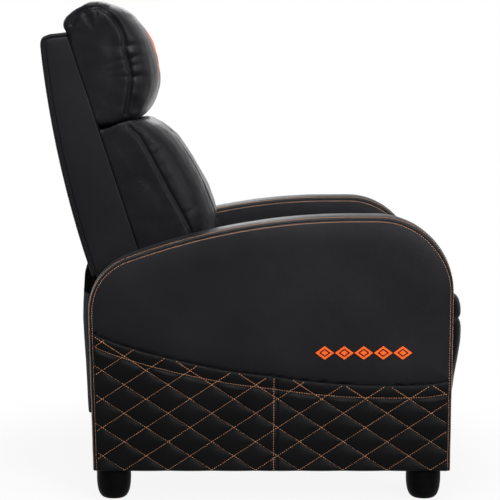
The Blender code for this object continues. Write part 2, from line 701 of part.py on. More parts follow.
def build_rear_cover(finish, group):
    """A fabric panel that closes the base behind the mechanism and bows out in the middle."""
    half = ARM_INNER - GAP
    sections = []
    for rise, share in COVER_SWELL:
        height = COVER_BOTTOM + rise * (COVER_TOP - COVER_BOTTOM)
        outer = cover_path(COVER_BOW * share, COVER_REAR, half)
        inner = cover_path(COVER_BOW * share, COVER_REAR + COVER_THICKNESS, half - COVER_THICKNESS)
        sections.append([(x, depth(forward), height) for x, forward in outer + inner[::-1]])
    return loft("rear_cover", sections, finish["fabric"], group)


def build_swings(finish, group, cutters):
    """Two pairs of equal links, each pair joined by a tube across the base."""
    pairs = []
    for end, foot in zip(("rear", "front"), swing_feet()):
        tip = swing_tip(foot)
        pieces = []
        for side_name, side in SIDES:
            link = plate("%s_swing_link_%s" % (end, side_name), capsule(foot, tip, LINK_HALF),
                         SWING_LAYER - PLATE, SWING_LAYER, finish["steel"], group,
                         holes=[circle(tip, PIN_RADIUS + PIN_PLAY)], side=side)
            shaft = rod("%s_swing_shaft_%s" % (end, side_name), foot, SHAFT_RADIUS, SWING_LAYER - PLATE / 2.0,
                        RAIL_LAYER - GAP, finish["steel"], group, side=side)
            combine(link, shaft, "UNION", cutters)
            pieces.append(link)
        half = SWING_LAYER - PLATE - GAP
        pieces.append(rod(end + "_swing_tube", foot, TUBE_RADIUS, -half, half, finish["steel"], group))
        pairs.append(carry(end + "_swing_pivot", foot, pieces))
    return pairs


# Seat

def build_seat(finish, group, cutters, carrier):
    pieces = []
    tips = [swing_tip(foot) for foot in swing_feet()]
    top = SEAT_FRAME_BOTTOM - GAP
    low = tips[0][1] - PLATE_MARGIN
    nose = SEAT_FRAME_FRONT - PLATE_NOSE
    crank_radius = math.hypot(*RECLINE_CRANK)
    crank_start = math.atan2(RECLINE_CRANK[1], RECLINE_CRANK[0])
    slot_half = PIN_RADIUS + LOOSE_PLAY
    outline = rounded([
        (tips[0][0] - PLATE_MARGIN, low, PLATE_MARGIN),
        (SUPPORT_PIVOT[0] - 1.25 * PLATE_MARGIN, low, 3.75 * PLATE_MARGIN),
        (nose, DRIVE_PIVOT[1] - 1.6 * PLATE_MARGIN, PLATE_MARGIN),
        (nose, top, CORNER),
        (SEAT_REAR - 0.375 * PLATE_MARGIN, top, 0.75 * PLATE_MARGIN),
        (BACK_PIVOT[0] + 1.75 * PLATE_MARGIN, BACK_PIVOT[1] + 1.25 * PLATE_MARGIN, 1.1 * PLATE_MARGIN),
        (BACK_PIVOT[0] - 1.6 * PLATE_MARGIN, BACK_PIVOT[1] + 1.25 * PLATE_MARGIN, 1.1 * PLATE_MARGIN),
        (BACK_PIVOT[0] - 3.0 * PLATE_MARGIN, BACK_PIVOT[1] - 3.75 * PLATE_MARGIN, 1.9 * PLATE_MARGIN),
        (tips[0][0] - PLATE_MARGIN, tips[0][1] + 1.9 * PLATE_MARGIN, 1.9 * PLATE_MARGIN),
    ])
    slot = (arc(BACK_PIVOT, crank_radius + slot_half, crank_start, crank_start + RECLINE_RANGE, 8)
            + arc(offset_towards(BACK_PIVOT, crank_start + RECLINE_RANGE, crank_radius), slot_half,
                  crank_start + RECLINE_RANGE, crank_start + RECLINE_RANGE + math.pi, 6)[1:-1]
            + arc(BACK_PIVOT, crank_radius - slot_half, crank_start + RECLINE_RANGE, crank_start, 8)
            + arc(offset_towards(BACK_PIVOT, crank_start, crank_radius), slot_half,
                  crank_start + math.pi, crank_start + math.tau, 6)[1:-1])
    holes = [circle(BACK_PIVOT, SHAFT_RADIUS + PIN_PLAY), circle(DRIVE_PIVOT, PIN_RADIUS + PIN_PLAY), slot]
    for side_name, side in SIDES:
        web = plate("seat_side_plate_" + side_name, outline, SEAT_LAYER - PLATE, SEAT_LAYER,
                    finish["steel"], group, holes=holes, side=side)
        fold = plate("seat_fold_" + side_name,
                     [(SEAT_REAR + CORNER, top - PLATE), (nose - CORNER, top - PLATE), (nose - CORNER, top),
                      (SEAT_REAR + CORNER, top)],
                     SEAT_LAYER - FLANGE, SEAT_LAYER - PLATE / 2.0, finish["steel"], group, side=side)
        combine(web, fold, "UNION", cutters)
        for number, tip in enumerate(tips):
            pin = rod("seat_pin_%s_%d" % (side_name, number), tip, PIN_RADIUS, SEAT_LAYER - PLATE / 2.0,
                      SWING_LAYER, finish["steel"], group, side=side)
            combine(web, pin, "UNION", cutters)
        pin = rod("support_pin_" + side_name, SUPPORT_PIVOT, PIN_RADIUS, FIRST_LAYER - PLATE,
                  SEAT_LAYER - PLATE / 2.0, finish["steel"], group, side=side)
        combine(web, pin, "UNION", cutters)
        pieces.append(web)

        bolt = rod("back_pivot_bolt_" + side_name, BACK_PIVOT, SHAFT_RADIUS, FIRST_LAYER - PLATE - BOLT_END,
                   SEAT_LAYER + BOLT_HEAD / 2.0, finish["bolt"], group, side=side)
        head = plate("bolt_head_" + side_name, circle(BACK_PIVOT, BOLT_FLAT, 6), SEAT_LAYER + GAP,
                     SEAT_LAYER + BOLT_HEAD, finish["bolt"], group, side=side)
        nut = plate("bolt_nut_" + side_name, circle(BACK_PIVOT, BOLT_FLAT, 6), FIRST_LAYER - PLATE - BOLT_NUT,
                    FIRST_LAYER - PLATE - GAP, finish["bolt"], group, side=side)
        combine(bolt, head, "UNION", cutters)
        combine(bolt, nut, "UNION", cutters)
        pieces.append(bolt)

    frame_top = SEAT_FRAME_BOTTOM + SEAT_FRAME_HEIGHT
    frame = plate("seat_frame", [(SEAT_REAR, SEAT_FRAME_BOTTOM), (SEAT_FRAME_FRONT, SEAT_FRAME_BOTTOM),
                                 (SEAT_FRAME_FRONT, frame_top), (SEAT_REAR, frame_top)],
                  -SEAT_FRAME_HALF, SEAT_FRAME_HALF, finish["wood"], group)
    below, above = SEAT_FRAME_BOTTOM - SEAT_FRAME_HEIGHT, frame_top + SEAT_FRAME_HEIGHT
    well = plate("seat_well", [(SEAT_REAR + SEAT_RAIL, below), (SEAT_FRAME_FRONT - SEAT_RAIL, below),
                               (SEAT_FRAME_FRONT - SEAT_RAIL, above), (SEAT_REAR + SEAT_RAIL, above)],
                 -SEAT_FRAME_HALF + SEAT_RAIL, SEAT_FRAME_HALF - SEAT_RAIL, finish["wood"], group)
    combine(frame, well, "DIFFERENCE", cutters)
    pieces.append(frame)

    wire_height = frame_top + GAP + SPRING_WIRE
    start = SEAT_REAR + SPRING_INSET
    end = SEAT_FRAME_FRONT - SPRING_INSET
    for number in range(SPRING_COUNT):
        middle = (number - (SPRING_COUNT - 1) / 2.0) * SPRING_PITCH
        pieces.append(seat_spring("seat_spring_%d" % (number + 1), middle, start, end, wire_height,
                                  finish["steel"], group))

    pieces.append(seat_cushion(finish, group))
    return carry("seat_level_pivot", tips[0], pieces, carrier)


def seat_spring(name, middle, start, end, height, material, group):
    """A sinuous spring: one wire that runs in waves from the rear rail to the front rail."""
    curve = bpy.data.curves.new(name, "CURVE")
    curve.dimensions = "3D"
    curve.bevel_depth = SPRING_WIRE
    curve.bevel_resolution = 1
    curve.use_fill_caps = True
    points = []
    pitch = (end - start) / SPRING_WAVES
    for wave in range(SPRING_WAVES):
        turn = 1.0 if wave % 2 == 0 else -1.0
        for sideways, along in SPRING_BEND:
            points.append((middle + turn * sideways * SPRING_SPREAD, start + pitch * (wave + along)))
    points.append((middle, end))
    spline = curve.splines.new("POLY")
    spline.points.add(len(points) - 1)
    for point, (x, forward) in zip(spline.points, points):
        point.co = (x, depth(forward), height, 1.0)
    item = bpy.data.objects.new(name, curve)
    curve.materials.append(material)
    group.objects.link(item)
    return item


def stations(round_from, power):
    """Places across a cushion, with how far its side outline has drawn in at each."""
    places = [0.0, round_from]
    for i in range(1, CUSHION_END_STEPS + 1):
        turn = math.pi / 2.0 * i / CUSHION_END_STEPS
        places.append(round_from + (1.0 - round_from) * math.sin(turn))
    marks = []
    for place in places:
        share = max(place - round_from, 0.0) / (1.0 - round_from)
        marks.append((place, 1.0 - max(1.0 - share ** power, 0.0) ** (1.0 / power)))
    return [(-place, share) for place, share in marks[:0:-1]] + marks


def padded(name, outline, half, rest, middle, shape, deep, material, group):
    """A cushion lying on a rest line.

    Towards its ends the cushion keeps only part of its depth off the rest, and draws in a
    little along it, towards the middle.  The shape gives the share kept, the shares drawn in
    before and past the middle, and where the ends start to turn.  The depth runs forwards
    (deep 0) or upwards (deep 1).
    """
    keep, draw_low, draw_high, round_from = shape
    along = 1 - deep
    sections = []
    for place, share in stations(round_from, CUSHION_END_POWER):
        section = []
        for point in outline:
            moved = [0.0, 0.0]
            draw = draw_low if point[along] < middle else draw_high
            moved[along] = middle + (point[along] - middle) * (1.0 - draw * share)
            depth = point[deep] - rest(point[along])
            moved[deep] = rest(moved[along]) + depth * (1.0 - (1.0 - keep) * share)
            section.append(tuple(moved))
        sections.append(across(place * half, section))
    return loft(name, sections, material, group)


def seat_cushion(finish, group):
    rear = SEAT_REAR + SEAT_CUSHION_SETBACK
    step = SEAT_NOSE_STEP / 2.0
    points = rounded([
        (rear, SEAT_BOTTOM, 1.5 * step),
        (SEAT_SHOULDER - step, SEAT_BOTTOM, 2.0 * step),
        (SEAT_SHOULDER + step, SEAT_NOSE_UNDER, 1.5 * step),
        (SEAT_NOSE, SEAT_NOSE_UNDER + step / 2.0, 4.5 * step),
        (SEAT_NOSE, SEAT_EDGE + 1.5 * step, 6.0 * step),
        (SEAT_NOSE - SEAT_FALL, SEAT_CROWN, SEAT_FALL),
        (rear + 2.0 * SEAT_FALL, SEAT_CROWN, SEAT_FALL),
        (rear, SEAT_EDGE, 5.5 * step),
    ])

    def underside(forward):
        return SEAT_BOTTOM if forward < SEAT_SHOULDER else SEAT_NOSE_UNDER

    middle = (rear + SEAT_NOSE) / 2.0
    return padded("seat_cushion", points, SEAT_CUSHION_HALF, underside, middle, SEAT_CUSHION_SHAPE, 1,
                  finish["leather"], group)


# Footrest

def footrest_points():
    drive_end = offset_towards(DRIVE_PIVOT, DRIVE_ANGLE, DRIVE_LENGTH)
    reach_rear = offset_towards(CROSSING, REACH_ANGLE + math.pi, REACH_REAR)
    lower = offset_towards(drive_end, REACH_ANGLE, REACH_FRONT)
    return drive_end, reach_rear, lower


def build_footrest(finish, group, cutters, seat):
    drive_end, reach_rear, lower = footrest_points()
    crossing, upper = CROSSING, UPPER_PIVOT
    steel = finish["steel"]
    drive, support, reach, guide, carried = [], [], [], [], []
    for side_name, side in SIDES:
        def pin(name, centre, start, end, radius=PIN_RADIUS):
            return rod("%s_%s" % (name, side_name), centre, radius, start, end, steel, group, side=side)

        link = plate("footrest_drive_link_" + side_name, capsule(DRIVE_PIVOT, drive_end, LINK_HALF),
                     THIRD_LAYER - PLATE, THIRD_LAYER, steel, group, side=side)
        combine(link, pin("drive_collar", DRIVE_PIVOT, THIRD_LAYER - PLATE / 2.0, SEAT_LAYER - PLATE - GAP,
                          TUBE_RADIUS), "UNION", cutters)
        combine(link, pin("drive_shaft", DRIVE_PIVOT, THIRD_LAYER, SEAT_LAYER), "UNION", cutters)
        combine(link, pin("crossing_pin", crossing, THIRD_LAYER - PLATE / 2.0, SECOND_LAYER),
                "UNION", cutters)
        combine(link, pin("drive_end_pin", drive_end, FOURTH_LAYER - PLATE, THIRD_LAYER - PLATE / 2.0),
                "UNION", cutters)
        drive.append(link)

        link = plate("footrest_support_link_" + side_name, capsule(SUPPORT_PIVOT, reach_rear, LINK_HALF),
                     FIRST_LAYER - PLATE, FIRST_LAYER, steel, group, side=side,
                     holes=[circle(SUPPORT_PIVOT, PIN_RADIUS + PIN_PLAY),
                            circle(reach_rear, PIN_RADIUS + LOOSE_PLAY)])
        support.append(link)

        link = plate("footrest_reach_link_" + side_name, capsule(reach_rear, upper, LINK_HALF),
                     SECOND_LAYER - PLATE, SECOND_LAYER, steel, group, side=side,
                     holes=[circle(crossing, PIN_RADIUS + PIN_PLAY), circle(upper, PIN_RADIUS + PIN_PLAY)])
        combine(link, pin("reach_rear_pin", reach_rear, SECOND_LAYER - PLATE / 2.0, FIRST_LAYER),
                "UNION", cutters)
        reach.append(link)

        link = plate("footrest_guide_link_" + side_name, capsule(drive_end, lower, LINK_HALF),
                     FOURTH_LAYER - PLATE, FOURTH_LAYER, steel, group, side=side,
                     holes=[circle(drive_end, PIN_RADIUS + PIN_PLAY), circle(lower, PIN_RADIUS + LOOSE_PLAY)])
        guide.append(link)

        back = BOARD_REAR - GAP
        high, foot = BOARD_TOP - 1.3 * LINK_HALF, lower[1] - 5.4 * LINK_HALF
        outline = rounded([
            (back, high, CORNER), (upper[0] - 0.5 * LINK_HALF, upper[1] + 1.3 * LINK_HALF, LINK_HALF),
            (lower[0] - LINK_HALF, lower[1] + 0.5 * LINK_HALF, LINK_HALF),
            (lower[0] - 0.5 * LINK_HALF, lower[1] - 1.2 * LINK_HALF, LINK_HALF), (back, foot, CORNER)])
        bracket = plate("footrest_bracket_" + side_name, outline, THIRD_LAYER - PLATE, THIRD_LAYER,
                        steel, group, side=side)
        fold = plate("bracket_fold_" + side_name,
                     [(back - PLATE, foot + GAP), (back, foot + GAP),
                      (back, high - GAP), (back - PLATE, high - GAP)],
                     THIRD_LAYER - PLATE - FLANGE, THIRD_LAYER - PLATE / 2.0, steel, group, side=side)
        combine(bracket, fold, "UNION", cutters)
        combine(bracket, pin("upper_pin", upper, THIRD_LAYER - PLATE / 2.0, SECOND_LAYER),
                "UNION", cutters)
        combine(bracket, pin("lower_pin", lower, FOURTH_LAYER - PLATE, THIRD_LAYER - PLATE / 2.0),
                "UNION", cutters)
        carried.append(bracket)

    half = THIRD_LAYER - PLATE - GAP
    drive.append(rod("footrest_drive_tube", DRIVE_PIVOT, TUBE_RADIUS, -half, half, steel, group))

    board_front = BOARD_REAR + BOARD_THICKNESS
    board = plate("footrest_board", [(BOARD_REAR, BOARD_BOTTOM), (board_front, BOARD_BOTTOM),
                                     (board_front, BOARD_TOP), (BOARD_REAR, BOARD_TOP)],
                  -BOARD_HALF, BOARD_HALF, finish["wood"], group)
    carried.append(board)
    carried.append(footrest_cushion(finish, group))

    drive_pivot = carry("footrest_extend_pivot", DRIVE_PIVOT, drive, seat)
    carry("footrest_support_pivot", SUPPORT_PIVOT, support, seat)
    reach_pivot = carry("footrest_reach_pivot", crossing, reach, drive_pivot)
    carry("footrest_guide_pivot", drive_end, guide, drive_pivot)
    carry("footrest_board_pivot", upper, carried, reach_pivot)


def footrest_cushion(finish, group):
    """The padded front: fullest at its seam, with a rounded top over the board's edge."""
    base = BOARD_BOTTOM - FOOTREST_SKIRT
    seam = FOOTREST_TOP - FOOTREST_SEAM
    points = [(FOOTREST_REAR, base + FOOTREST_SKIRT / 2.0), (FOOTREST_REAR + 0.25 * FOOTREST_DEPTH, base)]
    points += [(FOOTREST_REAR + out * FOOTREST_DEPTH, base + up * (seam - base))
               for out, up in FOOTREST_BELLY]
    points += [(FOOTREST_FRONT - FOOTREST_SEAM_DIP, seam), (FOOTREST_FRONT, seam + 0.2 * FOOTREST_SEAM),
               (FOOTREST_REAR + 0.90 * FOOTREST_DEPTH, FOOTREST_TOP - 0.19 * FOOTREST_SEAM),
               (FOOTREST_REAR + 0.45 * FOOTREST_DEPTH, FOOTREST_TOP), (FOOTREST_REAR, FOOTREST_TOP)]
    curve = smooth(points, 2)
    curve = [(max(forward, FOOTREST_REAR), min(height, FOOTREST_TOP)) for forward, height in curve]
    middle = (BOARD_BOTTOM + BOARD_TOP) / 2.0
    return padded("footrest_cushion", curve, FOOTREST_HALF, lambda height: FOOTREST_REAR, middle,
                  FOOTREST_SHAPE, 0, finish["leather"], group)


# Back

def back_rear_curve(inset):
    """The back's curved rear line, moved forward by an inset, from bottom to top."""
    curve = through(BACK_REAR_LOW, BACK_REAR_MIDDLE, BACK_REAR_HIGH, 9)
    return [(forward + inset, height) for forward, height in curve]


def rear_line_at(height, inset):
    """Forward distance of the rear line at one height, carried on straight past its ends."""
    curve = back_rear_curve(inset)
    for (f0, h0), (f1, h1) in zip(curve, curve[1:]):
        if height <= h1 or (f1, h1) == curve[-1]:
            return f0 + (f1 - f0) * (height - h0) / (h1 - h0)
    return curve[-1][0]


def rear_run(low, high, inset):
    """The stretch of the rear line between two heights, from bottom to top."""
    inside = [(f, h) for f, h in back_rear_curve(inset) if low + 0.001 < h < high - 0.001]
    return [(rear_line_at(low, inset), low), *inside, (rear_line_at(high, inset), high)]


def back_shell():
    """The outside of the back, up its rear line and over the top to its front corner."""
    rear, rise = BACK_REAR_HIGH
    return [*back_rear_curve(0.0), (rear + BACK_TOP_CORNER[0], rise + BACK_TOP_CORNER[1]),
            (rear + BACK_TOP_EDGE[0], BACK_FRONT_HIGH[1] - BACK_TOP_EDGE[1]), BACK_FRONT_HIGH]


def front_line_at(height):
    (f0, h0), (f1, h1) = BACK_FRONT_LOW, BACK_FRONT_HIGH
    return f0 + (f1 - f0) * (height - h0) / (h1 - h0)


def build_back(finish, group, cutters, seat):
    pieces = []
    panel_inner = BACK_HALF - SIDE_PANEL
    crank = (BACK_PIVOT[0] + RECLINE_CRANK[0], BACK_PIVOT[1] + RECLINE_CRANK[1])
    shell = back_shell()
    side_outline = [(rear_line_at(SIDE_PANEL_BOTTOM, 0.0), SIDE_PANEL_BOTTOM), *shell,
                    (front_line_at(SIDE_PANEL_BOTTOM), SIDE_PANEL_BOTTOM)]
    for side_name, side in SIDES:
        panel = plate("back_side_panel_" + side_name, side_outline, panel_inner, BACK_HALF,
                      finish["leather"], group, side=side)
        pieces.append(panel)

        reach_low, reach_high = BRACKET_SHOULDER, BRACKET_TOP
        centre_low = rear_line_at(reach_low, REAR_PANEL + BACK_FRAME_DEPTH / 2.0)
        centre_high = rear_line_at(reach_high, REAR_PANEL + BACK_FRAME_DEPTH / 2.0)
        toe = [(crank[0] + ahead, crank[1] + above, radius) for ahead, above, radius in BRACKET_TOE]
        outline = rounded([
            *toe, (BACK_PIVOT[0] + BRACKET_NECK[0], BACK_PIVOT[1] + BRACKET_NECK[1], BRACKET_NECK[2]),
            (centre_low + BRACKET_HALF, reach_low, 1.3 * BRACKET_HALF),
            (centre_high + BRACKET_HALF, reach_high, 0.7 * BRACKET_HALF),
            (centre_high - BRACKET_HALF, reach_high, 0.7 * BRACKET_HALF),
            (centre_low - 1.2 * BRACKET_HALF, reach_low - 0.8 * BRACKET_HALF, 2.0 * BRACKET_HALF)])
        bracket = plate("back_bracket_" + side_name, outline, FIRST_LAYER - PLATE, FIRST_LAYER,
                        finish["steel"], group, side=side,
                        holes=[circle(BACK_PIVOT, SHAFT_RADIUS + PIN_PLAY)])
        pin = rod("crank_pin_" + side_name, crank, PIN_RADIUS, FIRST_LAYER - PLATE / 2.0, SWING_LAYER,
                  finish["steel"], group, side=side)
        combine(bracket, pin, "UNION", cutters)
        pieces.append(bracket)

    frame_rear = REAR_PANEL + GAP
    frame_front = frame_rear + BACK_FRAME_DEPTH
    outline = (rear_run(BACK_FRAME_BOTTOM, BACK_FRAME_TOP, frame_front)
               + rear_run(BACK_FRAME_BOTTOM, BACK_FRAME_TOP, frame_rear)[::-1])
    frame_half = FIRST_LAYER - PLATE - GAP
    frame = plate("back_frame", outline, -frame_half, frame_half, finish["wood"], group)
    window_low = BACK_FRAME_BOTTOM + BACK_RAIL
    window_high = BACK_FRAME_TOP - BACK_RAIL
    behind, ahead = BACK_WINDOW_SPAN
    window = plate("back_window", [(behind, window_low), (ahead, window_low),
                                   (ahead, window_high), (behind, window_high)],
                   -frame_half + BACK_STILE, frame_half - BACK_STILE, finish["wood"], group)
    combine(frame, window, "DIFFERENCE", cutters)
    pieces.append(frame)

    strap_rear = frame_front + GAP
    strap_front = strap_rear + STRAP_THICKNESS
    for number in range(STRAP_COUNT):
        low = STRAP_LOWEST + number * STRAP_PITCH
        high = low + STRAP_WIDTH
        outline = rear_run(low, high, strap_front) + rear_run(low, high, strap_rear)[::-1]
        pieces.append(plate("back_strap_%d" % (number + 1), outline, -frame_half + STRAP_INSET,
                            frame_half - STRAP_INSET, finish["fabric"], group))

    edge, corner = shell[-2], shell[-3]
    inner = [(BACK_FRONT_HIGH[0], BACK_FRONT_HIGH[1] - REAR_PANEL),
             (edge[0] + 0.4 * REAR_PANEL, edge[1] - REAR_PANEL),
             (corner[0] + REAR_PANEL, corner[1] - 0.8 * REAR_PANEL), *reversed(back_rear_curve(REAR_PANEL))]
    half = panel_inner - GAP
    pieces.append(plate("back_rear_panel", shell + inner, -half, half, finish["leather"], group))

    skirt_top = BACK_REAR_LOW[1] - GAP
    run = [(BACK_REAR_LOW[0] + forward, skirt_top + share * (SKIRT_BOTTOM - skirt_top))
           for forward, share in SKIRT_RUN]
    run += [(forward + SKIRT_THICKNESS, height) for forward, height in reversed(run)]
    pieces.append(plate("back_skirt", run, -SKIRT_HALF, SKIRT_HALF, finish["fabric"], group))

    pieces += back_cushions(strap_front + GAP, finish, group)
    return carry("back_recline_pivot", BACK_PIVOT, pieces, seat)


def back_cushions(rest, finish, group):
    """The tall lumbar cushion and the headrest above it, both lying on the back's straps.

    A profile gives shares of the cushion's height and depth, from its foot round the front.
    """
    low = SEAT_CROWN + LUMBAR_CLEARANCE
    height = HEADREST_FOOT - low

    def back_rest(at):
        return rear_line_at(at, rest)

    front = [(back_rest(low + up * height) + out * LUMBAR_DEPTH, low + up * height)
             for up, out in flowing(LUMBAR_PROFILE, 2)]
    points = front + rear_run(low, HEADREST_FOOT - CUSHION_SEAM, rest)[::-1]
    lumbar = padded("back_cushion", points, BACK_CUSHION_HALF, back_rest, low + height / 2.0,
                    BACK_CUSHION_SHAPE, 0, finish["leather"], group)

    seam = [(forward, at + CUSHION_SEAM) for forward, at in front[:-3:-1]]
    hook = (BACK_FRONT_HIGH[0] + GAP, BACK_FRONT_HIGH[1] + 2.0 * GAP)
    dome = [(BACK_FRONT_HIGH[0] + out * HEADREST_DEPTH, HEADREST_FOOT + up * HEADREST_HEIGHT)
            for up, out in flowing(HEADREST_PROFILE, 2)]
    frame_top = BACK_FRAME_TOP - CUSHION_TUCK
    points = seam + dome + [hook, (hook[0], hook[1] - CUSHION_TUCK / 2.0)]
    points += rear_run(HEADREST_FOOT, frame_top, rest)[::-1]

    def headrest_rest(at):
        return back_rest(at) if at < BACK_FRAME_TOP else hook[0]

    headrest = padded("headrest_cushion", points, BACK_CUSHION_HALF, headrest_rest, hook[1],
                      HEADREST_SHAPE, 0, finish["leather"], group)
    return [lumbar, headrest]


def build_recline_links(finish, group, cutters):
    """The links that pull the seat forward as the back goes down."""
    crank = (BACK_PIVOT[0] + RECLINE_CRANK[0], BACK_PIVOT[1] + RECLINE_CRANK[1])
    pieces = []
    for side_name, side in SIDES:
        link = plate("recline_link_" + side_name, capsule(RECLINE_ANCHOR, crank, LINK_HALF),
                     SWING_LAYER - PLATE, SWING_LAYER, finish["steel"], group,
                     holes=[circle(crank, PIN_RADIUS + LOOSE_PLAY)], side=side)
        pin = rod("anchor_pin_" + side_name, RECLINE_ANCHOR, PIN_RADIUS, SWING_LAYER - PLATE / 2.0,
                  RAIL_LAYER - GAP, finish["steel"], group, side=side)
        combine(link, pin, "UNION", cutters)
        pieces.append(link)
    return carry("recline_link_pivot", RECLINE_ANCHOR, pieces)


def main():
    clear_scene()
    group = new_collection("reclining_sofa")
    cutters = new_collection("cutters")
    finish = {
        "leather": new_material("black_leather", (0.022, 0.023, 0.026), 0.42),
        "fabric": new_material("black_lining", (0.012, 0.012, 0.013), 0.85),
        "wood": new_material("frame_wood", (0.52, 0.38, 0.22), 0.65),
        "steel": new_material("black_steel", (0.03, 0.03, 0.032), 0.40, 0.6),
        "bolt": new_material("zinc_bolt", (0.60, 0.60, 0.58), 0.35, 1.0),
        "foot": new_material("black_foot_plastic", (0.015, 0.015, 0.016), 0.50),
    }
    for side_name, side in SIDES:
        build_arm(side_name, side, finish, group, cutters)
    build_base(finish, group, cutters)
    build_rear_cover(finish, group)
    rear_swing = build_swings(finish, group, cutters)[0]
    build_recline_links(finish, group, cutters)
    seat = build_seat(finish, group, cutters, rear_swing)
    build_footrest(finish, group, cutters, seat)
    build_back(finish, group, cutters, seat)


main()
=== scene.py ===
"""Dresses a push-back reclining sofa: leather, quilting, stitching, padding and finishes.

Everything is in metres in the frame's own axes.  The sitter faces -Y, the sitter's left is +X
and the floor is at Z 0.  Side views are rows of (forward, height), and forward becomes
Y = DEPTH_MIDDLE - forward.
"""

import logging
import math
from contextlib import contextmanager
from dataclasses import dataclass, field
from enum import Enum
from typing import Callable, Iterator, Sequence

import bpy
import numpy as np
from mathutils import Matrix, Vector, noise
from mathutils.bvhtree import BVHTree
from mathutils.kdtree import KDTree


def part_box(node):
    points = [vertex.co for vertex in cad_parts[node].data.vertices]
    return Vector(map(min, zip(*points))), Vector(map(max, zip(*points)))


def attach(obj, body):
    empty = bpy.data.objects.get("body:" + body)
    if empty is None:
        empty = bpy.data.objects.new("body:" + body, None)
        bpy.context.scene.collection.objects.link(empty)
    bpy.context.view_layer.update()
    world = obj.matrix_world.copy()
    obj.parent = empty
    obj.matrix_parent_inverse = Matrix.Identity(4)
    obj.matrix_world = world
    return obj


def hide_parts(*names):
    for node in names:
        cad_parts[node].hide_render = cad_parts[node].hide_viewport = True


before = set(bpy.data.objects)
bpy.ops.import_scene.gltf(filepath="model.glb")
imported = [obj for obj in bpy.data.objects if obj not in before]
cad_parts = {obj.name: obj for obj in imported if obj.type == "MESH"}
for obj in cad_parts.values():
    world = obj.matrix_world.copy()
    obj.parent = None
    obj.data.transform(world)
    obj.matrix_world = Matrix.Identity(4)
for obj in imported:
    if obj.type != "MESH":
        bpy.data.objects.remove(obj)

logging.basicConfig(level=logging.INFO, format="%(message)s")
LOG = logging.getLogger("sofa")
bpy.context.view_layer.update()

# World Y of the side view's forward distance 0.
DEPTH_MIDDLE = 0.0055
# Walls of the covers, behind their faces.
BAND_WALL = 0.0028
PANEL_WALL = 0.0042
BOXING_WALL = 0.0034
REAR_WALL = 0.0040
LINING_WALL = 0.0011
WEBBING_WALL = 0.0016
MOTIF_WALL = 0.0016
EMBLEM_WALL = 0.0014
TINY = 1e-9
UP = Vector((0.0, 0.0, 1.0))
TO_REAR = Vector((0.0, 1.0, 0.0))
WHITE = (1.0, 1.0, 1.0, 1.0)

Point = tuple[float, float]
Colour = tuple[float, float, float]
Item = bpy.types.Object
Material = bpy.types.Material


class Side(Enum):
    """The two sides of the sofa, as the sitter names them."""

    LEFT = 1
    RIGHT = -1

    @property
    def label(self) -> str:
        """The side's name as the nodes spell it."""
        return self.name.lower()

    @property
    def outward(self) -> Vector:
        """The direction away from the sofa's middle."""
        return Vector((self.value, 0.0, 0.0))


# Shader maths


class Signal:
    """A shader socket on which arithmetic adds Math nodes."""

    def __init__(self, recipe: "Recipe", socket: bpy.types.NodeSocket) -> None:
        """Keeps the recipe that new nodes are added to and the socket."""
        self.recipe = recipe
        self.socket = socket

    def _maths(self, operation: str, first: object, second: object) -> "Signal":
        """One Math node on two values."""
        return self.recipe.add("ShaderNodeMath", {"operation": operation}, {0: first, 1: second})

    def __add__(self, other: object) -> "Signal":
        """Sum."""
        return self._maths("ADD", self, other)

    __radd__ = __add__

    def __sub__(self, other: object) -> "Signal":
        """Difference."""
        return self._maths("SUBTRACT", self, other)

    def __mul__(self, other: object) -> "Signal":
        """Product."""
        return self._maths("MULTIPLY", self, other)

    __rmul__ = __mul__

    def at_most(self, other: object) -> "Signal":
        """The smaller of two values."""
        return self._maths("MINIMUM", self, other)


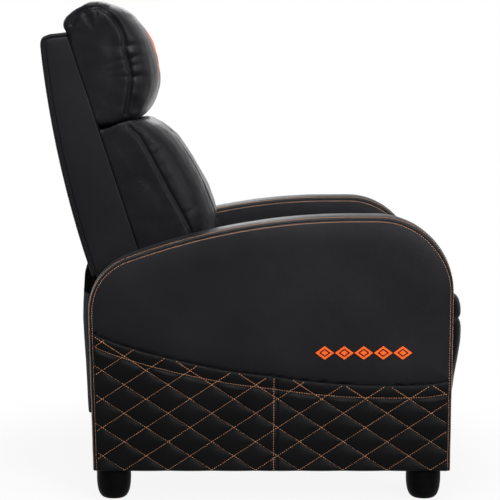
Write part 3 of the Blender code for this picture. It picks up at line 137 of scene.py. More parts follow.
class Recipe:
    """Shader nodes under construction."""

    def __init__(self, tree: bpy.types.NodeTree, output: str) -> None:
        """Empties a node tree and gives it an output node.

        Args:
            tree: the node tree.
            output: the output node's type.
        """
        self.tree = tree
        self.tree.nodes.clear()
        self.output = self.tree.nodes.new(output)

    def add(self, kind: str, settings: dict | None = None, values: dict | None = None,
            out: int | str = 0) -> Signal:
        """Adds a node, sets it up and returns one of its outputs.

        Args:
            kind: the node's type.
            settings: properties, set before the sockets.
            values: sockets by index or name, each a number, a tuple or a Signal.
            out: the output that is returned.

        Returns:
            The chosen output as a Signal.
        """
        node = self.tree.nodes.new(kind)
        for key, value in (settings or {}).items():
            setattr(node, key, value)
        for key, value in (values or {}).items():
            if isinstance(value, Signal):
                self.tree.links.new(value.socket, node.inputs[key])
            else:
                node.inputs[key].default_value = value
        return Signal(self, node.outputs[out])

    def show(self, shader: Signal) -> None:
        """Links a shader to the output."""
        self.tree.links.new(shader.socket, self.output.inputs["Surface"])

    def ramp(self, value: Signal, low: float, high: float) -> Signal:
        """Stretches a value so that low becomes 0 and high becomes 1."""
        node = self.tree.nodes.new("ShaderNodeValToRGB")
        for element, place, level in zip(node.color_ramp.elements, (low, high), (0.0, 1.0)):
            element.position = place
            element.color = (level, level, level, 1.0)
        self.tree.links.new(value.socket, node.inputs[0])
        return Signal(self, node.outputs[0])

    def blend(self, share: object, first: Colour, second: Colour) -> Signal:
        """Mixes two colours by a share."""
        values = {0: share, 6: (*first, 1.0), 7: (*second, 1.0)}
        return self.add("ShaderNodeMix", {"data_type": "RGBA"}, values, 2)

    def place(self, scale: tuple[float, float, float] = (1.0, 1.0, 1.0)) -> Signal:
        """Object coordinates, stretched."""
        where = self.add("ShaderNodeTexCoord", out="Object")
        return self.add("ShaderNodeMapping", {}, {"Vector": where, "Scale": scale})

    def cloud(self, size: float, detail: float = 2.0) -> Signal:
        """Noise whose blotches have a size in metres."""
        return self.add("ShaderNodeTexNoise", {},
                        {"Vector": self.place(), "Scale": 1.0 / size, "Detail": detail})

    def relief(self, layers: Sequence[tuple[Signal, float]]) -> Signal:
        """Stacks bumps.

        Args:
            layers: heights from 0 to 1, each with its depth in metres.

        Returns:
            The bent normal.
        """
        below = {}
        for height, deep in layers:
            normal = self.add("ShaderNodeBump", {},
                              {"Height": height, "Distance": deep, "Strength": 1.0, **below})
            below = {"Normal": normal}
        return normal

    def light_share(self) -> Signal:
        """1 for rays that see the background directly, in a mirror or through glass."""
        seen = self.add("ShaderNodeLightPath", out="Is Camera Ray")
        mirror = self.add("ShaderNodeLightPath", out="Is Glossy Ray")
        through = self.add("ShaderNodeLightPath", out="Is Transmission Ray")
        return (seen + mirror + through).at_most(1.0)


# Finishes


@dataclass(frozen=True)
class Finish:
    """What every finish has: its name and two tones."""

    name: str
    tint: Colour
    lift: Colour

    def dressed(self, recipe: Recipe) -> tuple[Signal, Signal, Sequence[tuple[Signal, float]], dict]:
        """The finish's own nodes.

        Args:
            recipe: what the nodes are added to.

        Returns:
            The share of the second tone, the roughness, the bumps and constants of the shader.
        """
        raise NotImplementedError

    def material(self) -> Material:
        """The finish as a material with one Principled shader."""
        material = bpy.data.materials.new(self.name)
        material.use_nodes = True
        recipe = Recipe(material.node_tree, "ShaderNodeOutputMaterial")
        share, rough, layers, constants = self.dressed(recipe)
        recipe.show(recipe.add("ShaderNodeBsdfPrincipled", {}, {
            "Base Color": recipe.blend(share, self.tint, self.lift), "Roughness": rough,
            "Normal": recipe.relief(layers), **constants}))
        return material


@dataclass(frozen=True)
class Leather(Finish):
    """Coated leather with pores, a soft sheen and shallow creases."""

    tint: Colour = (0.0056, 0.0054, 0.0066)
    lift: Colour = (0.0090, 0.0087, 0.0105)
    gloss: float = 0.40
    crease: float = 0.0010
    shine: float = 0.085

    def dressed(self, recipe: Recipe) -> tuple:
        """Blotches, rubbed places, pores, fine grain and folds."""
        blotch, rub = recipe.cloud(0.17, 3.0), recipe.cloud(0.024, 4.0)
        pores = recipe.add("ShaderNodeTexVoronoi", {"feature": "DISTANCE_TO_EDGE"},
                           {"Vector": recipe.place(), "Scale": 1.0 / 0.0021})
        layers = ((recipe.cloud(0.052, 1.5), self.crease), (recipe.ramp(pores, 0.0, 0.35), 0.00016),
                  (recipe.cloud(0.0009), 0.00005))
        rough = self.gloss + 0.10 * (rub - 0.5) + 0.05 * (blotch - 0.5)
        return recipe.ramp(blotch, 0.35, 0.70), rough, layers, {"Specular IOR Level": self.shine}


@dataclass(frozen=True)
class Lining(Finish):
    """Woven black lining with crossed threads."""

    tint: Colour = (0.006, 0.006, 0.0065)
    lift: Colour = (0.016, 0.016, 0.017)
    pitch: float = 0.0012

    def dressed(self, recipe: Recipe) -> tuple:
        """Two crossed waves under blotches."""
        warp, weft = (recipe.add("ShaderNodeTexWave", {"bands_direction": axis}, {
            "Vector": recipe.place(), "Scale": 1.0 / self.pitch / 3.2, "Distortion": 0.6, "Detail": 1.0})
            for axis in "XZ")
        weave = warp * 0.5 + weft * 0.5
        blotch = recipe.cloud(0.05, 3.0)
        rough = 0.80 + 0.12 * (blotch - 0.5)
        layers = (blotch, 0.0012), (weave, 0.00025)
        return weave * 0.7 + blotch * 0.3, rough, layers, {"Specular IOR Level": 0.10}


@dataclass(frozen=True)
class Timber(Finish):
    """Planed softwood with long grain and a few darker streaks."""

    tint: Colour = (0.56, 0.40, 0.23)
    lift: Colour = (0.33, 0.20, 0.10)

    def dressed(self, recipe: Recipe) -> tuple:
        """Growth rings and fibres along the frame's depth."""
        along_grain = recipe.place((14.0, 1.6, 9.0))
        figure = recipe.add("ShaderNodeTexNoise", {}, {"Vector": along_grain, "Scale": 5.0, "Detail": 6.0,
                                                       "Distortion": 1.4})
        fibre = recipe.add("ShaderNodeTexNoise", {}, {"Vector": along_grain, "Scale": 60.0, "Detail": 3.0})
        share = recipe.ramp(figure * 0.75 + fibre * 0.25, 0.38, 0.62)
        return share, 0.62 + 0.16 * (fibre - 0.5), ((figure, 0.0004), (fibre, 0.0003)), {}


@dataclass(frozen=True)
class Metal(Finish):
    """Steel under paint or plating, with fine scratches."""

    metallic: float
    rough: float

    def dressed(self, recipe: Recipe) -> tuple:
        """Orange peel, handled places and scratches."""
        peel, handled = recipe.cloud(0.0035), recipe.cloud(0.045, 5.0)
        scratch = recipe.add("ShaderNodeTexNoise", {},
                             {"Vector": recipe.place((1.0, 26.0, 4.0)), "Scale": 60.0, "Detail": 4.0})
        worn = recipe.ramp(scratch, 0.60, 0.72)
        rough = self.rough + 0.18 * (handled - 0.5) + 0.10 * worn
        layers = (peel, 0.00008), (scratch, 0.00006)
        return worn * 0.35 + handled * 0.4, rough, layers, {"Metallic": self.metallic}


@dataclass(frozen=True)
class Moulded(Finish):
    """Black moulded plastic with a spark-eroded texture."""

    tint: Colour = (0.0018, 0.0018, 0.0019)
    lift: Colour = (0.0036, 0.0036, 0.0037)

    def dressed(self, recipe: Recipe) -> tuple:
        """Specks and scuffs."""
        speck, scuff = recipe.cloud(0.0008), recipe.cloud(0.018, 5.0)
        rough = 0.46 + 0.16 * (scuff - 0.5)
        layers = ((speck, 0.00006), (scuff, 0.0002))
        return recipe.ramp(scuff, 0.45, 0.75), rough, layers, {"Specular IOR Level": 0.025}


@dataclass(frozen=True)
class Thread(Finish):
    """Twisted sewing thread."""

    shine: float = 0.15

    def dressed(self, recipe: Recipe) -> tuple:
        """The twist of the strands and a slow change along the seam."""
        twist = recipe.add("ShaderNodeTexWave", {"bands_direction": "DIAGONAL"},
                           {"Vector": recipe.place(), "Scale": 420.0, "Distortion": 1.0})
        lay = recipe.cloud(0.03, 3.0)
        rough = 0.52 + 0.12 * (lay - 0.5)
        return twist * 0.6 + lay * 0.4, rough, ((twist, 0.0003),), {"Specular IOR Level": self.shine}


def made(finish: Finish) -> Material:
    """A palette entry that becomes a material when the palette is made."""
    return field(default_factory=finish.material)


@dataclass
class Palette:
    """Every finish of the sofa, made once."""

    panel: Material = made(Leather("panel_leather", gloss=0.42, crease=0.0008))
    soft: Material = made(Leather("cushion_leather", (0.0054, 0.0052, 0.0063), (0.0090, 0.0087, 0.0105),
                                  0.25, 0.0036, 0.055))
    # The footrest's front is the cushions' leather with a darker tint and less shine: painted shade that
    # keeps it dark where it turns from the light.
    painted_shade_soft: Material = made(Leather("footrest_front_leather", (0.0026, 0.0025, 0.0030),
                                   (0.0046, 0.0044, 0.0053), 0.34, 0.0030, 0.018))
    # The quilted panel is the same black leather with a darker tint: painted shade for the shade among the
    # quilting's puffs.
    quilted: Material = made(Leather("quilted_leather", (0.0020, 0.0019, 0.0023), (0.0036, 0.0035, 0.0041),
                                     0.34, 0.0006, 0.05))
    # The band is the same black leather with a lighter tint: painted highlight for the light that falls on
    # the arm's rounded top.
    band: Material = made(Leather("band_leather", (0.0080, 0.0079, 0.0088), (0.0140, 0.0139, 0.0155),
                                  0.40, 0.0006, 0.10))
    lining: Material = made(Lining("black_woven_lining"))
    webbing: Material = made(Lining("elastic_webbing", (0.03, 0.03, 0.031), (0.07, 0.07, 0.07), 0.0018))
    timber: Material = made(Timber("planed_timber"))
    steel: Material = made(Metal("painted_steel", (0.020, 0.020, 0.021), (0.050, 0.050, 0.052), 0.25, 0.40))
    zinc: Material = made(Metal("zinc_plate", (0.52, 0.52, 0.50), (0.70, 0.69, 0.66), 1.0, 0.32))
    plastic: Material = made(Moulded("moulded_foot_plastic"))
    bright: Material = made(Thread("orange_thread", (0.74, 0.325, 0.150), (0.98, 0.500, 0.270)))
    satin: Material = made(Thread("orange_satin_thread", (0.78, 0.085, 0.010), (0.95, 0.16, 0.022)))
    # Black thread for the seams; it also colours the near-black cord along the back's boxing, which is
    # painted shadow.
    black: Material = made(Thread("black_thread", (0.0012, 0.0012, 0.0013), (0.0030, 0.0030, 0.0032), 0.02))


# Mesh tools


def only(item: Item) -> None:
    """Makes one object the selected and active one."""
    bpy.ops.object.select_all(action="DESELECT")
    item.select_set(True)
    bpy.context.view_layer.objects.active = item


@contextmanager
def editing(item: Item, select: str = "SELECT") -> Iterator[None]:
    """Edit mode on one object, which starts with all or nothing of it selected."""
    only(item)
    bpy.ops.object.mode_set(mode="EDIT")
    bpy.ops.mesh.select_all(action=select)
    yield
    bpy.ops.object.mode_set(mode="OBJECT")


def primitive(operator: Callable, name: str, **settings: object) -> Item:
    """Adds one of Blender's primitive meshes under a name."""
    bpy.ops.object.select_all(action="DESELECT")
    operator(**settings)
    item = bpy.context.object
    item.name = item.data.name = name
    return item


def points_of(item: Item) -> np.ndarray:
    """An object's vertices as rows."""
    flat = np.empty(len(item.data.vertices) * 3)
    item.data.vertices.foreach_get("co", flat)
    return flat.reshape(-1, 3)


def put_points(item: Item, places: np.ndarray) -> None:
    """Moves an object's vertices."""
    item.data.vertices.foreach_set("co", np.ascontiguousarray(places, dtype=float).ravel())
    item.data.update()


def normals_of(item: Item) -> np.ndarray:
    """An object's vertex normals as rows."""
    flat = np.empty(len(item.data.vertices) * 3, dtype=np.float32)
    item.data.vertex_normals.foreach_get("vector", flat)
    return flat.reshape(-1, 3).astype(float)


def face_towards(item: Item, way: Vector) -> None:
    """Flips an object's faces if on average they look against a direction."""
    if float(normals_of(item).mean(axis=0) @ np.array(way)) < 0.0:
        with editing(item):
            bpy.ops.mesh.flip_normals()


def face_out(item: Item, threshold: float = 0.00001) -> None:
    """Merges doubles and turns all faces of a closed shell outwards."""
    with editing(item):
        bpy.ops.mesh.remove_doubles(threshold=threshold)
        bpy.ops.mesh.normals_make_consistent(inside=False)


def apply(item: Item, kind: str, **settings: object) -> None:
    """Adds a modifier and applies it.

    Args:
        item: the object.
        kind: the modifier's type.
        settings: its properties.
    """
    only(item)
    modifier = item.modifiers.new(kind.lower(), kind)
    for key, value in settings.items():
        setattr(modifier, key, value)
    bpy.ops.object.modifier_apply(modifier=modifier.name)


def thicken(item: Item, thickness: float) -> None:
    """Gives a sheet a wall behind its face and closes its rim."""
    apply(item, "SOLIDIFY", thickness=thickness, offset=-1.0, use_even_offset=False, use_rim=True)


def dress(item: Item, material: Material, angle: float, body: str, node: str = "") -> Item:
    """Shades a finished piece, fixes it to its body and hides the CAD node it stands for.

    Args:
        item: the piece.
        material: its finish.
        angle: edges that turn less than this many degrees look smooth.
        body: the body it rides.
        node: the CAD node it stands for, if any.

    Returns:
        The piece.
    """
    item.data.materials.clear()
    item.data.materials.append(material)
    only(item)
    bpy.ops.object.shade_smooth_by_angle(angle=math.radians(angle))
    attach(item, body)
    if node:
        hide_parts(node)
    return item


def grid(name: str, places: np.ndarray, outward: Vector | None = None) -> Item:
    """A grid primitive laid over a surface.

    Args:
        name: the piece's name.
        places: rows x columns x 3 points of the surface.
        outward: a direction that the faces have to look towards on average.

    Returns:
        The object.
    """
    rows, columns = places.shape[:2]
    item = primitive(bpy.ops.mesh.primitive_grid_add, name, x_subdivisions=columns - 1,
                     y_subdivisions=rows - 1, size=1.0)
    put_points(item, places)
    if outward is not None:
        face_towards(item, outward)
    return item


def side_view(x: np.ndarray | float, outline: np.ndarray) -> np.ndarray:
    """Places of side-view points at a world X."""
    x = np.broadcast_to(x, outline.shape[:-1])
    return np.stack([x, DEPTH_MIDDLE - outline[..., 0], outline[..., 1]], axis=-1)


def hanging(across: np.ndarray, forward: np.ndarray, heights: np.ndarray) -> np.ndarray:
    """Grid of points with one height a row, given X and the forward distance of each."""
    forward, x = np.broadcast_arrays(forward, across)
    height = np.broadcast_to(heights[:, None], forward.shape)
    return side_view(x, np.stack([forward, height], axis=-1))


def unit(rows: np.ndarray) -> np.ndarray:
    """Rows brought to length 1."""
    return rows / np.maximum(np.linalg.norm(rows, axis=-1, keepdims=True), TINY)


def left_of(line: np.ndarray) -> np.ndarray:
    """Unit normals on the left of a plane line."""
    way = unit(np.gradient(line, axis=0))
    return np.stack([-way[:, 1], way[:, 0]], axis=1)


def along(path: np.ndarray, pitch: float, start: float = 0.0) -> tuple[np.ndarray, np.ndarray]:
    """Evenly spaced points on a polyline.

    Args:
        path: the polyline's points; columns after the third are only carried along.
        pitch: distance between two points.
        start: distance of the first point from the path's start.

    Returns:
        The points, and the unit direction of the path at each.
    """
    steps = np.linalg.norm(np.diff(path[:, :3], axis=0), axis=1)
    length = np.concatenate(([0.0], np.cumsum(steps)))
    marks = np.arange(start, length[-1], pitch)
    places, ahead, behind = (np.stack([np.interp(marks + shift, length, column) for column in path.T], axis=1)
                             for shift in (0.0, 0.3 * pitch, -0.3 * pitch))
    return places, unit(ahead - behind)


def curve_through(points: Sequence[Point], steps: int = 6) -> np.ndarray:
    """An open Catmull-Rom curve through points of any dimension."""
    given = np.array([points[0], *points, points[-1]], dtype=float)
    out = []
    for p0, p1, p2, p3 in zip(given, given[1:], given[2:], given[3:]):
        for t in np.arange(steps) / steps:
            out.append(0.5 * (2.0 * p1 + (p2 - p0) * t + (2.0 * p0 - 5.0 * p1 + 4.0 * p2 - p3) * t * t
                              + (3.0 * p1 - 3.0 * p2 + p3 - p0) * t ** 3))
    return np.array([*out, given[-2]])


def crowd(count: int, low: float, high: float, edges: Sequence[float]) -> np.ndarray:
    """Stations from low to high that crowd towards both ends.

    Args:
        count: stations in the even stretch.
        low: the first station.
        high: the last station.
        edges: distances from an end of the extra stations.

    Returns:
        The stations.
    """
    inner = np.linspace(low + edges[-1], high - edges[-1], count)
    return np.concatenate(([low], low + np.array(edges[:-1]), inner, high - np.array(edges[-2::-1]), [high]))


def ease(value: np.ndarray | float) -> np.ndarray:
    """Smooth step of a value that is first held between 0 and 1."""
    held = np.clip(value, 0.0, 1.0)
    return held * held * (3.0 - 2.0 * held)


def swell(distance: np.ndarray | float, reach: float) -> np.ndarray:
    """Round shoulder that rises from 0 at an edge to 1 at its reach."""
    share = 1.0 - np.clip(distance / reach, 0.0, 1.0)
    return np.sqrt(np.clip(1.0 - share * share, 0.0, 1.0))


def dent(distance: np.ndarray, width: float) -> np.ndarray:
    """Bell that falls from 1 on a line to almost 0 at twice its width."""
    return np.exp(-(distance / width) ** 2)


def waves(places: np.ndarray, size: float, seed: float) -> np.ndarray:
    """Smooth noise from about -1 to 1 at each place, in space or in the side view."""
    if places.shape[-1] == 2:
        places = np.stack([places[..., 0], np.zeros(places.shape[:-1]), places[..., 1]], axis=-1)
    shift = Vector((seed, 2.0 * seed, -seed))
    found = [noise.noise(Vector(p) / size + shift) for p in places.reshape(-1, 3)]
    return np.array(found).reshape(places.shape[:-1])


@dataclass(frozen=True)
class Form:
    """A change of a surface: how far it moves and over what distance."""

    depth: float
    reach: float

    def crown(self, distance: np.ndarray) -> np.ndarray:
        """Rises from an edge inwards."""
        return self.depth * swell(distance, self.reach)

    def shoulder(self, distance: np.ndarray) -> np.ndarray:
        """Is largest at an edge and gone within its reach."""
        return self.depth * (1.0 - swell(distance, self.reach))

    def groove(self, distance: np.ndarray) -> np.ndarray:
        """Is largest on a line and gone at about twice its reach."""
        return self.depth * dent(distance, self.reach)

    def ripple(self, places: np.ndarray, seed: float) -> np.ndarray:
        """Wanders to both sides, in blotches of its reach."""
        return self.depth * waves(places, self.reach, seed)


def tree_of(points: np.ndarray) -> KDTree:
    """Search tree over points in space or in the side view."""
    tree = KDTree(len(points))
    for index, point in enumerate(points):
        tree.insert((*point, 0.0)[:3], index)
    tree.balance()
    return tree


def distance_to(line: np.ndarray, places: np.ndarray) -> np.ndarray:
    """Distance of side-view places from the nearest point of a line."""
    tree = tree_of(line)
    found = [tree.find((*place, 0.0))[2] for place in places.reshape(-1, 2)]
    return np.array(found).reshape(places.shape[:-1])


@dataclass(frozen=True)
class Seamwork:
    """A row of stitches: how far apart they are and how thick."""

    pitch: float = 0.0050
    length: float = 0.0037
    width: float = 0.00092
    height: float = 0.00078

    def sew(self, name: str, rows: Sequence[tuple[np.ndarray, np.ndarray]], material: Material,
            body: str) -> None:
        """Sews rows of stitches, which become one object.

        Args:
            name: the piece's name.
            rows: each a path of points and the surface's normal at each point.
            material: the thread.
            body: the body it rides.
        """
        item = primitive(bpy.ops.mesh.primitive_ico_sphere_add, name, subdivisions=1, radius=0.5)
        stitch = points_of(item) * np.array([self.length, self.width, self.height])
        faces = np.array([list(p.vertices) for p in item.data.polygons])
        frames = []
        for path, normals in rows:
            places, way = along(np.hstack([path, normals]), self.pitch, 0.5 * self.pitch)
            way = unit(way[:, :3])
            aside = unit(np.cross(places[:, 3:], way))
            frames.append(np.stack([places[:, :3], way, aside, np.cross(way, aside)]))
        at, *axes = np.concatenate(frames, axis=1)
        places = at[:, None, :] + sum(stitch[None, :, k:k + 1] * axis[:, None, :]
                                      for k, axis in enumerate(axes))
        index = faces[None, :, :] + (np.arange(len(at)) * len(stitch))[:, None, None]
        mesh = bpy.data.meshes.new(name)
        mesh.from_pydata(places.reshape(-1, 3).tolist(), [], index.reshape(-1, 3).tolist())
        spent = item.data
        item.data = mesh
        bpy.data.meshes.remove(spent)
        dress(item, material, 80.0, body)


def piped(name: str, path: np.ndarray, radius: float, material: Material, body: str) -> None:
    """A round cord of piping along a path, closed at both ends.

    Args:
        name: the piece's name.
        path: the cord's middle line.
        radius: the cord's radius.
        material: the finish.
        body: the body it rides.
    """
    span = np.linalg.norm(np.diff(path, axis=0), axis=1).sum()
    middle, way = along(path, span / max(int(span / 0.006), 6))
    middle[-1] = path[-1]
    hint = np.array([1.0, 0.0, 0.0]) if abs(way[0][0]) < 0.8 else np.array([0.0, 0.0, 1.0])
    first = unit(np.cross(way, hint))
    second = np.cross(way, first)
    turns = np.linspace(0.0, math.tau, 9)[None, :, None]
    rings = middle[:, None] + radius * (np.cos(turns) * first[:, None] + np.sin(turns) * second[:, None])
    item = grid(name, rings)
    with editing(item):
        bpy.ops.mesh.remove_doubles(threshold=0.00001)
        bpy.ops.mesh.select_all(action="DESELECT")
        bpy.ops.mesh.select_mode(type="EDGE")
        bpy.ops.mesh.select_non_manifold()
        bpy.ops.mesh.fill_holes(sides=0)
    face_out(item)
    dress(item, material, 60.0, body)


@dataclass
class Surface:
    """Finished surfaces that threads and trims are laid on."""

    items: Sequence[Item]
    tree: BVHTree = field(init=False)

    def __post_init__(self) -> None:
        """Builds one search tree over all surfaces."""
        corners, faces = [], []
        for item in self.items:
            first = len(corners)
            corners += [v.co for v in item.data.vertices]
            faces += [[first + index for index in p.vertices] for p in item.data.polygons]
        self.tree = BVHTree.FromPolygons(corners, faces)

    def shoot(self, starts: np.ndarray, way: Vector, lift: float = 0.0) -> tuple[np.ndarray, np.ndarray]:
        """Drops points onto the surface.

        Args:
            starts: points outside the surface.
            way: the direction they fall in.
            lift: how far above the surface they stop.

        Returns:
            The places reached, without the points that miss, and the normals there.
        """
        places, normals = [], []
        for start in starts:
            hit, normal, _, _ = self.tree.ray_cast(Vector(start), way)
            if hit is not None:
                normal = -normal if normal.dot(way) > 0.0 else normal
                places.append(hit + normal * lift)
                normals.append(normal)
        return np.array(places), np.array(normals)

    def nearest(self, place: Sequence[float]) -> tuple[Vector, Vector]:
        """The surface's point next to a place, and its normal."""
        return self.tree.find_nearest(Vector(place))[:2]


def diamond(corners: Callable[[np.ndarray], np.ndarray], border: float, cuts: int) -> Item:
    """A flat diamond to embroider.

    Args:
        corners: puts the corners of a diamond of half-width 1 in their places.
        border: width of its outline, or 0 if it is filled.
        cuts: cuts of each edge.

    Returns:
        The object.
    """
    item = primitive(bpy.ops.mesh.primitive_circle_add, "diamond", vertices=4, radius=1.0, fill_type="NGON")
    put_points(item, corners(points_of(item)[:, :2]))
    with editing(item):
        if border > 0.0:
            bpy.ops.mesh.inset(thickness=border, use_even_offset=True)
            bpy.ops.mesh.delete(type="ONLY_FACE")
            bpy.ops.mesh.select_all(action="SELECT")
        bpy.ops.mesh.subdivide(number_cuts=cuts)
    return item


def embroider(parts: Sequence[Item], name: str, surface: Surface, way: Vector, lift: float) -> Item:
    """Joins flat parts and lays them onto a surface.

    Args:
        parts: the parts, somewhere before the surface.
        name: the piece's name.
        surface: what they fall on.
        way: the direction they fall in.
        lift: how far above the surface they stop.

    Returns:
        The joined piece, a sheet that looks away from the surface.
    """
    only(parts[0])
    for item in parts:
        item.select_set(True)
    bpy.ops.object.join()
    item = bpy.context.object
    item.name = item.data.name = name
    laid = points_of(item)
    for index, start in enumerate(laid):
        hit, normal, _, _ = surface.tree.ray_cast(Vector(start), way)
        if hit is not None:
            laid[index] = hit + (normal if normal.dot(way) < 0.0 else -normal) * lift
    put_points(item, laid)
    face_towards(item, -way)
    return item


# Arms

# Section of the padded strip: (share of its half-width, share of the seam's inset), outer half.
BAND_SECTION = ((0.855, 1.14), (0.880, 1.04), (0.896, 0.96), (0.898, 0.86), (0.885, 0.72), (0.860, 0.58),
                (0.820, 0.45), (0.760, 0.33), (0.680, 0.22), (0.580, 0.13), (0.440, 0.06), (0.260, 0.015),
                (0.0, 0.0))
# Upper edge of the quilted panel: (forward, height).
QUILT_TOP = ((-0.325, 0.3460), (-0.300, 0.3330), (-0.240, 0.3120), (-0.170, 0.2930), (-0.106, 0.2785),
             (-0.040, 0.2660), (0.040, 0.2560), (0.102, 0.2475), (0.194, 0.2395), (0.274, 0.2375),
             (0.345, 0.2390), (0.380, 0.2440), (0.400, 0.2480))
# Turned foot: (radius, height), from the stud's top to the sole's middle.
FOOT_SECTION = ((0.0, 0.0882), (0.0035, 0.0882), (0.004, 0.0875), (0.004, 0.0620), (0.0335, 0.0620),
                (0.0348, 0.0612), (0.0350, 0.0590), (0.0350, 0.0400), (0.0346, 0.0320), (0.0336, 0.0230),
                (0.0320, 0.0155), (0.0298, 0.0095), (0.0270, 0.0050), (0.0238, 0.0020), (0.0208, 0.0005),
                (0.0185, 0.0), (0.0, 0.0))


@dataclass(frozen=True)
class Padding:
    """How one of an arm's smooth panels swells between its seams."""

    label: str
    direction: int
    face: float
    edge: Form
    middle: Form
    ripple: float
    seam_depth: float = 0.0045

    def dome(self, near: np.ndarray) -> np.ndarray:
        """How far the panel stands out at a distance from its seam."""
        return self.edge.crown(near) + self.middle.crown(near) - self.seam_depth


@dataclass
class Arm:
    """One padded arm: band, panels, quilting, stitching, embroidery and feet."""

    side: Side
    palette: Palette
    inner: float = 0.255
    outer: float = 0.343
    bottom: float = 0.0623
    front: float = 0.4035
    front_foot: float = 0.4015
    rear: float = -0.331
    rear_foot: float = -0.323
    rear_turn: float = 0.370
    crown: float = 0.5793
    crown_apex: float = 0.200
    crown_radius: float = 1.300
    nose_radius: float = 0.155
    tail_radius: float = 0.120
    front_steps: int = 40
    quilt_cross: Point = (-0.082, 0.1815)
    quilt_half: Point = (0.044, 0.029)
    quilt_puff: float = 0.0058
    quilt_base: float = 0.0022
    quilt_valley: float = 0.06
    quilt_inset: float = 0.0076
    quilt_rim: float = 0.009
    quilt_foot: float = 0.008
    quilt_head: float = 0.0042
    quilt_tuck: float = 0.0040
    band_ripple: Form = Form(0.00045, 0.030)
    hem: float = 0.025
    hem_roll: float = 0.0034
    hem_rise: float = 0.0012
    hem_seam: float = 0.048
    seam_groove: Form = Form(0.0030, 0.0022)
    row_groove: Form = Form(0.0016, 0.003)
    row_gap: float = 0.006
    foot_places: Point = (0.350, -0.281)
    motif_middle: Point = (0.221, 0.3045)
    motif_half: Point = (0.01875, 0.01375)
    motif_pitch: float = 0.0390
    thread: Seamwork = Seamwork()

    def outline(self) -> np.ndarray:
        """The arm's side outline from the front foot over the top to the rear foot."""
        nose = (self.front - self.nose_radius, self.crown - self.nose_radius)
        hub = (self.crown_apex, self.crown - self.crown_radius)
        tail = self.rear + self.tail_radius
        lift = math.sqrt((self.crown_radius - self.tail_radius) ** 2 - (tail - hub[0]) ** 2)
        meet = math.atan2(lift, tail - hub[0])

        def arc(centre: Point, radius: float, start: float, end: float, steps: int) -> np.ndarray:
            turn = np.linspace(start, end, steps)
            return np.stack([centre[0] + radius * np.cos(turn), centre[1] + radius * np.sin(turn)], axis=1)

        return np.concatenate([
            np.linspace((self.front_foot, self.bottom), (self.front, nose[1]), self.front_steps,
                        endpoint=False),
            arc(nose, self.nose_radius, 0.0, math.pi / 2.0, 36),
            arc(hub, self.crown_radius, math.pi / 2.0, meet, 70),
            arc((tail, hub[1] + lift), self.tail_radius, meet, math.pi, 18)[1:],
            np.linspace((self.rear, hub[1] + lift), (self.rear, self.rear_turn), 8)[1:],
            np.linspace((self.rear, self.rear_turn), (self.rear_foot, self.bottom), 40)[1:]])

    def on_top(self) -> np.ndarray:
        """Share, at each point of the outline, by which it belongs to the top."""
        return ease((self.outline()[:, 1] - 0.43) / 0.10)

    def drawn_in(self, inset: np.ndarray | float) -> np.ndarray:
        """The outline moved inwards."""
        points = self.outline()
        return points + left_of(points) * np.reshape(inset, (-1, 1)) * np.ones((len(points), 1))

    def seam_inset(self) -> np.ndarray:
        """How far in the seam between band and panel runs."""
        return 0.0062 + 0.0036 * self.on_top()

    def world(self, x: np.ndarray | float, outline: np.ndarray) -> np.ndarray:
        """Places side points at a distance from the sofa's middle, on this side."""
        return side_view(self.side.value * x, outline)

    def name(self, piece: str) -> str:
        """A piece's name with the arm's side."""
        return piece + "_" + self.side.label

    def build_band(self) -> Item:
        """The padded strip over the front, top and rear."""
        middle = (self.inner + self.outer) / 2.0
        half = (self.outer - self.inner) / 2.0
        seam = self.seam_inset()
        section = [*BAND_SECTION, *((-x, share) for x, share in BAND_SECTION[-2::-1])]
        places = np.array([self.world(middle + x * half, self.drawn_in(seam * share))
                           for x, share in section])
        out = places - np.array([self.side.value * middle, DEPTH_MIDDLE - 0.05, 0.30])
        out[..., 0] *= 0.2
        places += unit(out) * self.band_ripple.ripple(places, 3.0)[..., None]
        item = grid(self.name("arm_band_leather"), places, UP)
        thicken(item, BAND_WALL)
        # Its finish carries a painted highlight: a lighter tint for the light on the arm's top.
        return dress(item, self.palette.band, 60.0, "base", self.name("arm_band"))

    def panel_places(self, padding: Padding) -> np.ndarray:
        """Grid of points of a crowned panel inside the band's seam."""
        ring = self.drawn_in(self.seam_inset() + 0.0002)
        upper = ring[self.front_steps - 1:]
        upper = upper[: int(np.argmin(np.abs(upper[:, 1] - self.rear_turn))) + 1]
        order = np.argsort(upper[:, 0], kind="stable")
        columns = crowd(96, upper[:, 0].min(), upper[:, 0].max(), (0.0006, 0.0018, 0.0038, 0.007, 0.012))
        tops = np.interp(columns, upper[order, 0], upper[order, 1])
        share = (columns - columns[0]) / (columns[-1] - columns[0])
        rows = crowd(110, 0.0, 1.0, (0.002, 0.006, 0.012, 0.022, 0.036))
        height = self.bottom + rows[:, None] * (tops - self.bottom)[None, :]
        front = np.interp(height, [ring[0][1], upper[0][1]], [ring[0][0], upper[0][0]])
        rear = np.interp(height, [ring[-1][1], upper[-1][1]], [ring[-1][0], upper[-1][0]])
        flat = np.stack([rear + (front - rear) * share[None, :], height], axis=-1)
        edge = along(np.vstack([ring, ring[:1]]), 0.002)[0]
        if padding.direction > 0:
            hem = np.linspace(columns[0], columns[-1], 400)
            edge = np.vstack([edge, np.stack([hem, self.quilt_top(hem)], axis=1)])
        near = distance_to(edge, flat)
        near[near < 0.0011] = 0.0
        ripple = waves(flat, 0.085, 5.0 + padding.face) + 0.35 * waves(flat, 0.032, 9.0)
        dome = padding.dome(near) + padding.ripple * ripple * ease(near / 0.03)
        if padding.direction > 0:
            dome -= 0.0050 * ease((self.quilt_top(flat[..., 0]) - 0.003 - flat[..., 1]) / 0.006)
        return self.world(padding.face + padding.direction * dome, flat)

